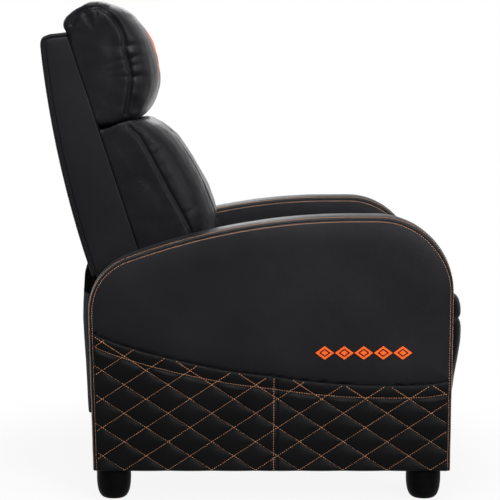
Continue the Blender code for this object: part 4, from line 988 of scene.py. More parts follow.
    def build_panel(self, padding: Padding) -> Item:
        """One of the smooth panels."""
        item = grid(self.name("arm_%s_leather" % padding.label), self.panel_places(padding),
                    self.side.outward * padding.direction)
        thicken(item, PANEL_WALL)
        return dress(item, self.palette.panel, 50.0, "base", self.name("arm_%s_panel" % padding.label))

    def quilt_top(self, forward: np.ndarray) -> np.ndarray:
        """Height of the quilted panel's upper edge."""
        fine = curve_through(QUILT_TOP)
        return np.interp(forward, fine[:, 0], fine[:, 1])

    def quilt_relief(self, forward: np.ndarray, height: np.ndarray) -> np.ndarray:
        """How far the quilted panel stands off the arm."""
        p = (forward - self.quilt_cross[0]) / self.quilt_half[0]
        q = (height - self.quilt_cross[1]) / self.quilt_half[1]
        pillow = np.ones_like(p)
        for turn in (p + q, p - q):
            rib = np.abs(np.sin(math.pi * turn / 2.0)) - self.quilt_valley
            pillow = pillow * np.maximum(rib, 0.0) / (1.0 - self.quilt_valley)
        pillow = pillow ** 0.46
        below = self.quilt_top(forward) - height
        hem = ease((self.hem + 0.004 - below) / 0.004)
        roll = np.sin(math.pi * np.clip(below / self.hem, 0.0, 1.0)) ** 0.55
        quilted = self.quilt_puff * pillow * (ease((below - self.hem) / 0.010) * 0.85 + 0.15)
        raised = self.hem_roll * roll * (0.55 + 0.45 * pillow) + self.hem_rise * (1.0 - hem)
        relief = self.quilt_base + np.where(hem > 0.5, raised, quilted)
        relief -= self.seam_groove.groove(forward - self.hem_seam) * ease((below - 0.002) / 0.004)
        relief -= self.row_groove.groove(forward - self.hem_seam + self.row_gap)
        front, rear = self.quilt_ends(height)
        rim = np.minimum(front - forward, forward - rear)
        relief *= 0.25 + 0.75 * swell(rim, self.quilt_rim)
        relief *= 0.30 + 0.70 * swell(height - self.bottom, self.quilt_foot)
        relief *= 0.12 + 0.88 * swell(below, self.quilt_head)
        return relief - self.quilt_tuck * (1.0 - ease(np.minimum(rim, height - self.bottom) / 0.0032))

    def quilt_ends(self, height: np.ndarray | float) -> tuple[np.ndarray, np.ndarray]:
        """Front and rear edge of the quilted panel at a height."""
        ring = self.drawn_in(self.quilt_inset)
        last = ring[self.front_steps - 1]
        front = np.interp(height, [ring[0][1], last[1]], [ring[0][0], last[0]])
        rear = np.interp(height, [ring[-1][1], self.rear_turn], [ring[-1][0], self.rear + self.quilt_inset])
        return front, rear

    def build_quilt(self) -> Item:
        """The diamond-quilted lower panel with its folded upper edge."""
        share = crowd(330, 0.0, 1.0, (0.0006, 0.0018, 0.0035, 0.006, 0.009))
        rows = crowd(96, 0.0, 1.0, (0.003, 0.008, 0.015, 0.024, 0.034))
        foot = self.bottom + 0.0003
        rear, front = self.quilt_ends(self.bottom)[1], self.quilt_ends(0.24)[0]
        height = foot + rows[:, None] * (self.quilt_top(rear + share * (front - rear)) - foot)
        front, rear = self.quilt_ends(height)
        forward = rear + (front - rear) * share
        height = foot + rows[:, None] * (self.quilt_top(forward) - foot)
        relief = self.quilt_relief(forward, height)
        places = self.world(self.outer + 0.0004 + relief, np.stack([forward, height], axis=-1))
        item = grid(self.name("arm_quilted_leather"), places, self.side.outward)
        with editing(item, "DESELECT"):
            bpy.ops.mesh.select_mode(type="EDGE")
            bpy.ops.mesh.select_non_manifold()
            bpy.ops.mesh.extrude_edges_move()
            back = self.side.value * (self.outer - 0.0044)
            bpy.ops.transform.resize(value=(0.0, 1.0, 1.0), center_override=(back, 0.0, 0.0))
            bpy.ops.mesh.fill()
        # Its finish carries painted shade: a darker tint for the shade in the quilting.
        return dress(item, self.palette.quilted, 75.0, "base", self.name("arm_quilted_panel"))

    def laid(self, rows: Sequence[np.ndarray], surface: Surface, direction: int) -> list:
        """Drops side-view rows onto the finished arm.

        Args:
            rows: paths of (forward, height) points.
            surface: what they fall on.
            direction: 1 for the outer face, -1 for the inner one.

        Returns:
            The paths on the surface with its normals.
        """
        start = self.outer + 0.1 if direction > 0 else self.inner - 0.1
        way = self.side.outward * -direction
        return [surface.shoot(self.world(start, row), way, self.thread.height * 0.3)
                for row in rows if len(row) > 5]

    def edge_rows(self) -> list[np.ndarray]:
        """Topstitching on the band and on the panel, beside the seam between them."""
        top = self.on_top()
        return [self.drawn_in(0.0028 + 0.0014 * top), self.drawn_in(0.0090 + 0.0040 * top)]

    def quilt_rows(self) -> list[np.ndarray]:
        """The quilting, the hem's row and the row beside the upright seam."""
        heights = np.linspace(self.bottom + 0.003, 0.345, 260)
        climb = (heights - self.quilt_cross[1]) / self.quilt_half[1]
        lines = [(self.quilt_cross[0] + self.quilt_half[0] * (index - lean * climb), heights)
                 for lean in (1.0, -1.0) for index in range(-16, 20, 2)]
        forward = np.linspace(-0.316, 0.396, 400)
        lines.append((forward, self.quilt_top(forward) - self.hem))
        lines.append((np.full(260, self.hem_seam - self.row_gap), heights))
        found = []
        for forward, height in lines:
            front, rear = self.quilt_ends(height)
            inside = (forward > rear + 0.0035) & (forward < front - 0.0035)
            inside &= height < self.quilt_top(forward) - 0.0022
            found.append(np.stack([forward, height], axis=1)[inside])
        return found

    def build_threads(self, outside: Surface, inside: Surface) -> None:
        """All stitching of the arm.

        Args:
            outside: the finished outer face.
            inside: the finished inner face.
        """
        edges = self.edge_rows()
        edges = self.laid(edges, outside, 1) + self.laid(edges, inside, -1)
        quilting = self.laid(self.quilt_rows(), outside, 1)
        for piece, rows in (("arm_topstitch", edges), ("arm_quilting_thread", quilting)):
            self.thread.sew(self.name(piece), rows, self.palette.bright, "base")

    def build_motif(self, outside: Surface) -> None:
        """A row of small embroidered diamonds, each an outline round a filled one."""
        parts = []
        for number in (-2.0, -1.0, 0.0, 1.0, 2.0):
            middle = (self.motif_middle[0] + number * self.motif_pitch, self.motif_middle[1])
            for scale, border in ((1.0, 0.0042), (0.40, 0.0)):
                parts.append(diamond(lambda corners: self.world(
                    self.outer + 0.05, corners * self.motif_half * scale + middle), border, 5))
        item = embroider(parts, self.name("arm_embroidery"), outside, -self.side.outward, 0.0014)
        thicken(item, MOTIF_WALL)
        apply(item, "BEVEL", width=0.0004, segments=2, limit_method="ANGLE")
        dress(item, self.palette.satin, 50.0, "base")

    def build_feet(self) -> None:
        """The turned feet with their studs."""
        middle = self.side.value * (self.inner + self.outer) / 2.0
        for end, forward in zip(("front", "rear"), self.foot_places):
            item = primitive(bpy.ops.mesh.primitive_circle_add, self.name("foot_%s_moulding" % end),
                             vertices=len(FOOT_SECTION), radius=0.01)
            axis = (middle, DEPTH_MIDDLE - forward, 0.0)
            put_points(item, np.array([(middle + radius, axis[1], height)
                                       for radius, height in FOOT_SECTION]))
            with editing(item):
                bpy.ops.mesh.spin(steps=40, angle=math.tau, center=axis, axis=(0.0, 0.0, 1.0))
            face_out(item, 0.00002)
            dress(item, self.palette.plastic, 35.0, "base", self.name("foot_" + end))

    def build(self) -> None:
        """Builds and dresses the whole arm."""
        band = self.build_band()
        outer, inner = (self.build_panel(Padding(*padding)) for padding in (
            ("outer", 1, self.outer, Form(0.0093, 0.046), Form(0.0018, 0.16), 0.0007),
            ("inner", -1, self.inner, Form(0.0049, 0.034), Form(0.0004, 0.16), 0.0004)))
        outside = Surface([band, outer, self.build_quilt()])
        self.build_threads(outside, Surface([band, inner]))
        self.build_motif(outside)
        self.build_feet()
        LOG.info("arm %s done", self.side.label)


# Cushions


@dataclass
class Seam:
    """A sewn line on a cushion."""

    path: np.ndarray
    pull: float
    width: float
    gathers: float = 0.0
    gather_pitch: float = 0.036
    gather_reach: float = 0.014
    rows: tuple[float, ...] = (-0.0034, 0.0034)
    welt: float = 0.0

    def push(self, distance: float, travel: float, ahead: float, number: int) -> float:
        """How far the cover moves out beside the seam.

        Args:
            distance: distance from the seam.
            travel: distance along the seam.
            ahead: share of the gathers on this side of the seam.
            number: the seam's number.

        Returns:
            The distance, negative where the cover is pulled in.
        """
        bell = math.exp(-(distance / self.width) ** 2)
        if not self.gathers:
            return -self.pull * bell
        wander = noise.noise(Vector((travel * 18.0, 4.0 * number, 1.7)))
        fold = math.sin(math.tau * (travel / self.gather_pitch + 0.9 * wander))
        strength = 0.55 + 0.45 * noise.noise(Vector((travel * 31.0, 7.0, number)))
        fade = math.exp(-distance / self.gather_reach) * (1.0 - bell)
        return -self.pull * bell + ahead * self.gathers * strength * (abs(fold) * 1.6 - 0.9) * fade


@dataclass
class Cushion:
    """A stuffed piece that starts as a copy of its solid and is blown up as cloth."""

    node: str
    name: str
    body: str
    palette: Palette
    held: Callable[[np.ndarray], np.ndarray]
    proud: float
    dip: float
    start: float = 0.006
    voxel: float = 0.0055
    pressure: float = 12.0
    cap: float = 0.016
    side_limit: float = 0.2515
    frames: int = 20
    step: float = 0.0012
    ruffles: tuple[Form, Form] = (Form(0.0022, 0.075), Form(0.0008, 0.030))
    leather: Material | None = None
    thread: Seamwork = Seamwork(pitch=0.0042, length=0.0039, width=0.0019, height=0.0010)
    seams: list[Seam] = field(default_factory=list)
    item: Item = field(init=False)

    def __post_init__(self) -> None:
        """Copies the CAD solid, remeshes it evenly and stuffs it."""
        self.item = bpy.data.objects.new(self.name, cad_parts[self.node].data.copy())
        self.item.data.name = self.name
        bpy.context.scene.collection.objects.link(self.item)
        face_out(self.item)
        apply(self.item, "REMESH", mode="VOXEL", voxel_size=self.voxel, use_smooth_shade=True)
        apply(self.item, "SMOOTH", factor=0.5, iterations=6)
        solid, outward = points_of(self.item), normals_of(self.item)
        held = self.held(solid)
        free = (1.0 - held)[:, None]
        begin = solid - outward * self.start * free
        put_points(self.item, begin)
        self.blow_up(held)
        moved = points_of(self.item) - begin
        length = np.linalg.norm(moved, axis=1, keepdims=True)
        put_points(self.item, begin + moved * np.minimum(1.0, self.cap * free / np.maximum(length, TINY)))
        apply(self.item, "SMOOTH", factor=0.4, iterations=2)
        self.limit(solid, outward, held)
        apply(self.item, "SUBSURF", levels=1, render_levels=1)

    def blow_up(self, held: np.ndarray) -> None:
        """Swells the cover by cloth pressure and keeps the result.

        Args:
            held: share by which a point keeps its place; those above a half are pinned.
        """
        group = self.item.vertex_groups.new(name="pinned")
        group.add([int(index) for index in np.nonzero(held > 0.5)[0]], 1.0, "REPLACE")
        only(self.item)
        cloth = self.item.modifiers.new("cloth", "CLOTH")
        fabric = {"quality": 4, "mass": 0.3, "tension_stiffness": 12.0, "compression_stiffness": 12.0,
                  "shear_stiffness": 6.0, "bending_stiffness": 0.6, "use_pressure": True,
                  "uniform_pressure_force": self.pressure, "vertex_group_mass": "pinned"}
        for key, value in fabric.items():
            setattr(cloth.settings, key, value)
        cloth.settings.effector_weights.gravity = 0.0
        cloth.collision_settings.use_collision = False
        cloth.point_cache.frame_start = 1
        cloth.point_cache.frame_end = self.frames
        scene = bpy.context.scene
        for number in range(1, self.frames + 1):
            scene.frame_set(number)
        bpy.ops.object.modifier_apply(modifier=cloth.name)
        scene.frame_set(1)
        self.item.vertex_groups.clear()

    def limit(self, solid: np.ndarray, outward: np.ndarray, held: np.ndarray) -> None:
        """Keeps the cover within a skin over the solid and ruffles it slightly.

        Args:
            solid: the points of the solid's surface.
            outward: their normals.
            held: share by which a point keeps its place.
        """
        free = 1.0 - held
        now = points_of(self.item)
        rise = np.einsum("ij,ij->i", now - solid, outward)
        now += outward * (np.clip(rise, -self.dip, self.proud) - rise)[:, None]
        now = now * free[:, None] + solid * held[:, None]
        now[:, 0] = np.clip(now[:, 0], -self.side_limit, self.side_limit)
        relief = self.ruffles[0].ripple(solid, 21.0) + self.ruffles[1].ripple(solid, 23.0)
        inside = np.where(np.abs(now[:, 0]) < self.side_limit - 0.006, 1.0, 0.0)
        now += outward * (relief * free * inside)[:, None]
        now[:, 0] -= np.sign(now[:, 0]) * np.abs(relief) * free * (1.0 - inside)
        put_points(self.item, now)

    def crease(self) -> None:
        """Pulls the cover in along its seams and gathers it beside them."""
        self.seams = [seam for seam in self.seams if len(seam.path) > 3]
        for number, seam in enumerate(self.seams):
            places, normals = points_of(self.item), normals_of(self.item)
            path = along(seam.path, self.step)[0]
            tree = tree_of(path)
            reach = max(4.0 * seam.width, 3.0 * seam.gather_reach if seam.gathers else 0.0)
            low, high = path.min(axis=0) - reach, path.max(axis=0) + reach
            for index in np.nonzero(np.all((places > low) & (places < high), axis=1))[0]:
                _, order, distance = tree.find(Vector(places[index]))
                if distance <= reach:
                    ahead = 1.0 if places[index][1] < path[order][1] else 0.35
                    places[index] += normals[index] * seam.push(distance, self.step * order, ahead, number)
            put_points(self.item, places)

    def stitch(self) -> None:
        """Sews the double rows beside each seam and lays the welts."""
        surface = Surface([self.item])
        rows = []
        for number, seam in enumerate(self.seams):
            path, way = along(seam.path, 0.004)
            if seam.welt > 0.0:
                line = np.array([spot + normal * (seam.welt - 0.0012)
                                 for spot, normal in map(surface.nearest, path)])
                piped("%s_welt_%d" % (self.name, number), line, 0.0015, self.palette.panel, self.body)
            for offset in seam.rows:
                spots, normals = [], []
                for point, ahead in zip(path, way):
                    aside = surface.nearest(point)[1].cross(Vector(ahead)).normalized()
                    spot, normal = surface.nearest(Vector(point) + aside * offset)
                    spots.append(spot + normal * 0.00025)
                    normals.append(normal)
                rows.append((np.array(spots), np.array(normals)))
        if rows:
            self.thread.sew(self.name + "_seam_thread", rows, self.palette.black, self.body)

    def on_side(self, path: Sequence[Point], side: Side) -> np.ndarray:
        """Drops a side-view path onto the cover from one side."""
        starts = side_view(0.6 * side.value, curve_through(path))
        return Surface([self.item]).shoot(starts, -side.outward)[0]

    def on_front(self, path: Sequence[Point]) -> np.ndarray:
        """Drops a front-view (x, height) path onto the cover from the front."""
        starts = np.insert(curve_through(path), 1, -1.0, axis=1)
        return Surface([self.item]).shoot(starts, TO_REAR)[0]

    def on_top(self, path: Sequence[Point]) -> np.ndarray:
        """Drops a plan-view (x, forward) path onto the cover from above."""
        smooth = curve_through(path)
        starts = np.stack([smooth[:, 0], DEPTH_MIDDLE - smooth[:, 1], np.full(len(smooth), 1.5)], axis=1)
        return Surface([self.item]).shoot(starts, -UP)[0]

    def finish(self) -> Item:
        self.crease()
        self.stitch()
        dress(self.item, self.leather or self.palette.soft, 80.0, self.body, self.node)
        LOG.info("%s done, %d faces", self.name, len(self.item.data.polygons))
        return self.item


# Back

# Side seams of the cushions and the welt in front of the lumbar one: (forward, height).
HEADREST_SEAM = ((-0.365, 0.959), (-0.358, 0.973), (-0.350, 0.982), (-0.340, 0.987), (-0.328, 0.992),
                 (-0.315, 0.994), (-0.303, 0.990), (-0.293, 0.984), (-0.283, 0.974), (-0.274, 0.963),
                 (-0.267, 0.951), (-0.261, 0.937), (-0.259, 0.911), (-0.253, 0.885), (-0.248, 0.863),
                 (-0.247, 0.847), (-0.250, 0.819), (-0.254, 0.791), (-0.257, 0.778))
LUMBAR_SEAM = ((-0.250, 0.752), (-0.241, 0.743), (-0.229, 0.732), (-0.218, 0.713), (-0.205, 0.690),
               (-0.190, 0.662), (-0.175, 0.634), (-0.160, 0.606), (-0.144, 0.578), (-0.131, 0.553),
               (-0.121, 0.530), (-0.112, 0.500))
LUMBAR_WELT = ((-0.181, 0.753), (-0.163, 0.737), (-0.148, 0.721), (-0.136, 0.704), (-0.126, 0.688),
               (-0.116, 0.672), (-0.107, 0.655), (-0.099, 0.639), (-0.092, 0.622), (-0.086, 0.606),
               (-0.079, 0.589), (-0.072, 0.569), (-0.066, 0.548), (-0.062, 0.525))
# The back's rounded top: (distance ahead of the rear line, height).
TOP_RUN = ((0.0, 0.917), (0.0006, 0.921), (0.0018, 0.9262), (0.0040, 0.9306), (0.0090, 0.9350),
           (0.0220, 0.9395), (0.0540, 0.9432))
# Columns of a boxed side beside its rear edge, close together at the piping.
BOXING_COLUMNS = (0.0, 0.0006, 0.0016, 0.0030, 0.0044, 0.0056, 0.0064, 0.0071, 0.0077, 0.0082, 0.0087,
                  0.0093, 0.0100, 0.0110, 0.0125, 0.0150, 0.0190)
BACK_THREAD = 0.0050, 0.0040


@dataclass
class Back:
    """The reclining back: boxing, rear panel, piping, cushions, straps and skirt."""

    palette: Palette
    half: float = 0.250
    rear_low: Point = (-0.337, 0.478)
    rear_middle: Point = (-0.394, 0.693)
    rear_high: Point = (-0.429, 0.917)
    front_low: Point = (-0.223, 0.478)
    front_high: Point = (-0.376, 0.943)
    panel_bottom: float = 0.448
    rear_bottom: float = 0.4785
    rear_top: float = 0.9425
    rear_steps: int = 90
    piping_inset: float = 0.0082
    piping_groove: Form = Form(0.0024, 0.0017)
    piping_radius: float = 0.0016
    binding_radius: float = 0.0017
    boxing_edge: Form = Form(0.0036, 0.0055)
    boxing_front: Form = Form(0.0006, 0.004)
    boxing_crown: Form = Form(0.0018, 0.03)
    boxing_ripple: Form = Form(0.0009, 0.07)
    rear_edge: Form = Form(0.0018, 0.006)
    rear_crown: Form = Form(0.0020, 0.11)
    skirt_fold: float = 0.0016
    strap_front: float = 0.005 + 0.0003 + 0.042 + 0.0003 + 0.002

    def rear_at(self, height: np.ndarray | float) -> np.ndarray:
        """Forward distance of the back's curved rear line at a height."""
        known = (self.rear_low, self.rear_middle, self.rear_high)
        return np.polyval(np.polyfit([h for _, h in known], [f for f, _ in known], 2), height)

    def front_at(self, height: np.ndarray) -> np.ndarray:
        """Forward distance of the side panel's front edge."""
        (f0, h0), (f1, h1) = self.front_low, self.front_high
        return f0 + (f1 - f0) * (height - h0) / (h1 - h0)

    def shell(self, bottom: float, count: int) -> np.ndarray:
        """The rear line from a height upwards and the rounded top up to the front corner."""
        heights = np.linspace(bottom, self.rear_high[1], count)
        over = [(self.rear_at(height) + ahead, height) for ahead, height in TOP_RUN[1:]]
        return np.vstack([np.stack([self.rear_at(heights), heights], axis=1), over])

    def boxing_places(self, side: Side, shell: np.ndarray) -> np.ndarray:
        """Grid of points over one boxed side, with a groove for its piping."""
        share = crowd(16, 0.0, 1.0, (0.02, 0.05, 0.09))[1:]
        climb = crowd(64, 0.0, 1.0, (0.0015, 0.004, 0.007, 0.010, 0.013, 0.0165, 0.020, 0.026))
        columns = []
        for ahead, part in [(a, 0.0) for a in BOXING_COLUMNS] + [(BOXING_COLUMNS[-1], b) for b in share]:
            top = np.interp(ahead + part * (TOP_RUN[-1][0] - ahead), *np.array(TOP_RUN).T)
            height = self.panel_bottom + climb * (top - self.panel_bottom)
            rear = self.rear_at(height) + ahead
            columns.append(np.stack([rear + part * (self.front_at(height) - rear), height], axis=1))
        flat = np.stack(columns, axis=1)
        near = distance_to(along(shell, 0.0008)[0], flat)
        near[near < 0.0005] = 0.0
        ahead = self.front_at(flat[..., 1]) - flat[..., 0]
        x = self.half - self.boxing_edge.shoulder(near) - self.boxing_front.shoulder(ahead)
        x += self.boxing_crown.crown(np.maximum(near - self.piping_inset, 0.0))
        x -= self.piping_groove.groove(near - self.piping_inset)
        x += self.boxing_ripple.ripple(flat, 2.0 * side.value) * ease(near / 0.02)
        return side_view(side.value * x, flat)

    def build_side(self, side: Side) -> None:
        """One boxed side with its piping, its stitching and a near-black cord along its front edge, which is
        painted shadow of the gap beside the cushions.
        """
        shell = self.shell(self.panel_bottom, self.rear_steps)
        item = grid("back_boxing_leather_" + side.label, self.boxing_places(side, shell), side.outward)
        thicken(item, BOXING_WALL)
        dress(item, self.palette.panel, 60.0, "back", "back_side_panel_" + side.label)

        def beside(x: float, shift: float = 0.0) -> np.ndarray:
            return side_view(side.value * x, (shell - left_of(shell) * (self.piping_inset + shift))[:-2])

        piped("back_piping_" + side.label, beside(self.half - 0.0012), self.piping_radius, self.palette.panel,
              "back")
        surface = Surface([item])
        rows = [surface.shoot(beside(1.0, shift), -side.outward, 0.0002) for shift in (-0.0036, 0.0040)]
        Seamwork(*BACK_THREAD, 0.0013, 0.0009).sew(
            "back_boxing_thread_" + side.label, rows, self.palette.black, "back")
        # A near-black cord along the boxing's front edge: painted shadow of the gap between the boxing and
        # the cushions.
        heights = np.linspace(self.front_low[1] + 0.002, self.front_high[1] - 0.004, 60)
        edge = np.stack([self.front_at(heights) + 0.0006, heights], axis=1)
        piped("back_binding_" + side.label, side_view(side.value * (self.half + 0.0004), edge),
              self.binding_radius, self.palette.black, "back")

    def rear_places(self, half: float) -> np.ndarray:
        """Grid of points over the rear, crowned between the boxed sides."""
        line = self.shell(self.rear_bottom, 70)
        across = crowd(50, -half, half, (0.0015, 0.004, 0.009, 0.018))
        reach = half - np.abs(across)
        height = line[:, 1:]
        bulge = self.rear_crown.crown(reach) * (0.25 + 0.75 * swell(height - self.rear_bottom, 0.12))
        move = bulge * ease((self.rear_top - height) / 0.05) - self.rear_edge.shoulder(reach)
        places = side_view(across, line[:, None] + left_of(line)[:, None] * move[..., None])
        ripple = waves(places, 0.10, 12.0) + 0.4 * waves(places, 0.035, 14.0)
        places[..., 1] += 0.0007 * ripple * ease(reach / 0.04)
        return places

    def build_rear(self) -> None:
        """The covered rear with its stitching."""
        half = self.half - 0.0046
        item = grid("back_rear_leather", self.rear_places(half), TO_REAR)
        thicken(item, REAR_WALL)
        dress(item, self.palette.panel, 60.0, "back", "back_rear_panel")
        surface = Surface([item])
        edge = half - 0.008
        lines = [[(x, 1.0, height) for height in np.linspace(0.486, 0.925, 110)] for x in (-edge, edge)]
        lines.append([(x, 1.0, 0.488) for x in np.linspace(-edge, edge, 130)])
        Seamwork(*BACK_THREAD, 0.0011, 0.0009).sew(
            "back_rear_thread", [surface.shoot(np.array(line), -TO_REAR, 0.0003) for line in lines],
            self.palette.black, "back")

    def build_straps(self) -> None:
        """Elastic webbing across the back's frame."""
        for number in (1, 2):
            low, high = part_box("back_strap_%d" % number)
            heights = np.linspace(low.z, high.z, 9)
            across = np.linspace(low.x, high.x, 81)
            dip = 0.0008 * np.cos(across / high.x * math.pi / 2.0)
            forward = (self.rear_at(heights) + self.strap_front)[:, None] - dip
            item = grid("back_webbing_%d" % number, hanging(across, forward, heights), -TO_REAR)
            thicken(item, WEBBING_WALL)
            apply(item, "BEVEL", width=0.0004, segments=1, limit_method="ANGLE")
            dress(item, self.palette.webbing, 40.0, "back", "back_strap_%d" % number)

    def build_skirt(self) -> None:
        """The lining that hangs in shallow folds below the rear panel."""
        low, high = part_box("back_skirt")
        heights = np.linspace(high.z, low.z, 15)
        across = np.linspace(low.x + 0.0005, high.x - 0.0005, 161)
        drop = ((high.z - heights) / (high.z - low.z))[:, None]
        folds = np.sin(across * 118.0 + 1.2 * np.sin(across * 37.0)) * (0.6 + 0.4 * np.cos(across * 23.0))
        forward = -0.3365 - 0.0045 * ease(drop * 2.2) - 0.0030 * drop + self.skirt_fold * drop * folds
        item = grid("back_skirt_lining", hanging(across, forward, heights), TO_REAR)
        thicken(item, LINING_WALL)
        dress(item, self.palette.lining, 60.0, "back", "back_skirt")

    def held_back(self, places: np.ndarray) -> np.ndarray:
        """Share by which a back cushion's point lies against the back."""
        ahead = DEPTH_MIDDLE - places[:, 1] - self.rear_at(places[:, 2]) - self.strap_front
        return 1.0 - ease((ahead - 0.004) / 0.010)

    def build_lumbar(self) -> None:
        """The tall cushion behind the sitter's loins."""
        def held(places: np.ndarray) -> np.ndarray:
            foot = 1.0 - ease((places[:, 2] - 0.484) / 0.012)
            head = ease((places[:, 2] - 0.742) / 0.010) * ease((0.30 + places[:, 1]) / 0.02)
            return np.maximum(self.held_back(places), np.maximum(0.7 * foot, 0.6 * head))

        cushion = Cushion("back_cushion", "lumbar_cushion_leather", "back", self.palette, held,
                          proud=0.0048, dip=-0.0018)
        for side in Side:
            cushion.seams += [
                Seam(cushion.on_side(LUMBAR_SEAM, side), 0.0030, 0.0046, 0.0034, 0.11, 0.020, welt=0.0002),
                Seam(cushion.on_side(LUMBAR_WELT, side), 0.0016, 0.0040, rows=(), welt=0.0012)]
        cushion.finish()

    def build_headrest(self) -> None:
        """The gathered pillow behind the sitter's head, with an embroidered diamond."""
        def held(places: np.ndarray) -> np.ndarray:
            hook = 1.0 - ease(((DEPTH_MIDDLE - places[:, 1]) + 0.3755 - 0.002) / 0.008)
            hook *= 1.0 - ease((places[:, 2] - 0.9475) / 0.006)
            foot = (1.0 - ease((places[:, 2] - 0.752) / 0.014)) * 0.4
            return np.maximum(np.maximum(self.held_back(places) * (places[:, 2] < 0.93), hook), foot)

        cushion = Cushion("headrest_cushion", "headrest_leather", "back", self.palette, held,
                          proud=0.0058, dip=-0.0026)
        for side in Side:
            path = cushion.on_side(HEADREST_SEAM, side)
            cushion.seams.append(Seam(path, 0.0044, 0.0050, 0.0130, 0.075, 0.021, welt=0.0002))
        self.build_emblem(cushion.finish())

    def build_emblem(self, pillow: Item) -> None:
        """A plain embroidered diamond outline on the headrest's front."""
        middle, half_wide, half_tall = 0.902, 0.070, 0.052
        parts = [diamond(lambda corners: np.stack([corners[:, 0] * half_wide * scale, np.full(4, -0.6),
                                                   middle + corners[:, 1] * half_tall * scale], axis=1),
                         band, 20)
                 for scale, band in ((1.0, 0.0085), (0.62, 0.0060))]
        item = embroider(parts, "headrest_embroidery", Surface([pillow]), TO_REAR, 0.0011)
        thicken(item, EMBLEM_WALL)
        dress(item, self.palette.satin, 60.0, "back")

    def build(self) -> None:
        """Builds and dresses the whole back."""
        for side in Side:
            self.build_side(side)
        self.build_rear()
        self.build_straps()
        self.build_skirt()
        self.build_lumbar()
        self.build_headrest()
        LOG.info("back done")


# Seat, footrest and base


@dataclass
class Seat:
    """The seat cushion and the padded front of the footrest."""

    palette: Palette

    def build_seat(self) -> None:
        """The crowned seat cushion."""
        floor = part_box("seat_cushion")[0].z

        def held(places: np.ndarray) -> np.ndarray:
            return 1.0 - ease((places[:, 2] - floor - 0.003) / 0.012)

        cushion = Cushion("seat_cushion", "seat_cushion_leather", "seat", self.palette, held, 0.0032, 0.0,
                          voxel=0.0065, side_limit=0.2535)
        stations = -0.170, -0.10, 0.0, 0.10, 0.20, 0.30, 0.36, 0.385
        for side in Side:
            line = [(side.value * 0.185, forward) for forward in stations]
            cushion.seams.append(Seam(cushion.on_top(line), 0.0030, 0.0050, 0.0010, 0.034, 0.016))
        cushion.finish()

    def build_footrest(self) -> None:
        """The padded front over the footrest's board."""
        rear = DEPTH_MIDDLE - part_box("footrest_cushion")[1].y

        def held(places: np.ndarray) -> np.ndarray:
            return 1.0 - ease((DEPTH_MIDDLE - places[:, 1] - rear - 0.003) / 0.010)

        # The footrest's cover takes the darker copy of the cushion leather, which is painted shade.
        cushion = Cushion("footrest_cushion", "footrest_leather", "footrest", self.palette, held,
                          proud=0.0010, dip=0.0012, start=0.005, cap=0.012, leather=self.palette.painted_shade_soft)
        line = [(x, 0.3555) for x in np.linspace(-0.236, 0.236, 9)]
        cushion.seams.append(Seam(cushion.on_front(line), 0.0034, 0.0050, 0.0008))
        cushion.finish()

    def build(self) -> None:
        """Builds both cushions."""
        self.build_seat()
        self.build_footrest()


@dataclass
class Base:
    """The lining that closes the base behind the mechanism."""

    palette: Palette
    half: float = 0.2547
    rear: float = -0.336
    hem: float = -0.326
    front: float = -0.316
    rearmost: float = -0.3525
    bow: float = 0.014
    pleat: float = 0.0026
    crinkle: float = 0.0004
    top: float = 0.412
    bottom: float = 0.165
    swelling: tuple[Point, ...] = ((0.165, 0.1), (0.215, 0.25), (0.270, 0.5), (0.320, 0.8), (0.355, 1.0),
                                   (0.385, 1.0), (0.412, 0.9))

    def build(self) -> None:
        """Builds the bowed, slightly folded cover, whose ends turn in beside the arms."""
        heights = np.linspace(self.top, self.bottom, 46)
        share = np.interp(heights, *np.array(self.swelling).T)[:, None]
        turns = np.linspace(-1.0, 1.0, 150)
        height = heights[:, None]
        fade = 1.0 - np.abs(turns) ** 6
        drape = np.maximum(np.sin(math.pi * (height - self.bottom) / (self.top - self.bottom)), 0.0) ** 0.5
        body = self.rear + 0.004 * np.abs(turns) ** 20 - self.bow * share * (1.0 - np.abs(turns) ** 8)
        pleat = self.pleat * fade * np.sin(9.5 * turns + 6.0 * (height - 0.2)) * drape
        pleat += self.crinkle * fade * np.sin(23.0 * turns + 3.0 * np.sin(14.0 * (height - 0.2)))
        forward = np.pad(np.maximum(body + pleat, self.rearmost), ((0, 0), (2, 2)))
        forward[:, [0, -1]], forward[:, [1, -2]] = self.front, self.hem
        across = np.pad(self.half * turns, 2, mode="edge")
        item = grid("rear_cover_lining", hanging(across, forward, heights), TO_REAR)
        thicken(item, LINING_WALL)
        dress(item, self.palette.lining, 60.0, "base", "rear_cover")


def finish_mechanism(palette: Palette) -> None:
    """Gives the frame, springs, links and bolts, which keep their CAD shapes, their finishes."""
    finishes = {"frame_wood": palette.timber, "black_steel": palette.steel, "zinc_bolt": palette.zinc,
                "black_foot_plastic": palette.plastic, "black_leather": palette.panel,
                "black_lining": palette.lining}
    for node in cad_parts.values():
        for place in node.material_slots:
            kind = place.material.name.split(".")[0] if place.material else "black_steel"
            place.material = finishes.get(kind, palette.steel)


@dataclass(frozen=True)
class Lamp:
    """A square soft lamp that looks at the sofa: where it hangs, its side and its watts."""

    name: str
    place: tuple[float, float, float]
    size: float
    power: float
    aim: tuple[float, float, float] = (0.0, 0.0, 0.45)

    def hang(self) -> None:
        """Adds the lamp to the scene."""
        data = bpy.data.lights.new(self.name, "AREA")
        data.shape = "SQUARE"
        data.size = self.size
        data.energy = self.power
        item = bpy.data.objects.new(self.name, data)
        bpy.context.scene.collection.objects.link(item)
        item.location = self.place
        item.rotation_euler = (Vector(self.aim) - Vector(self.place)).to_track_quat("-Z", "Y").to_euler()


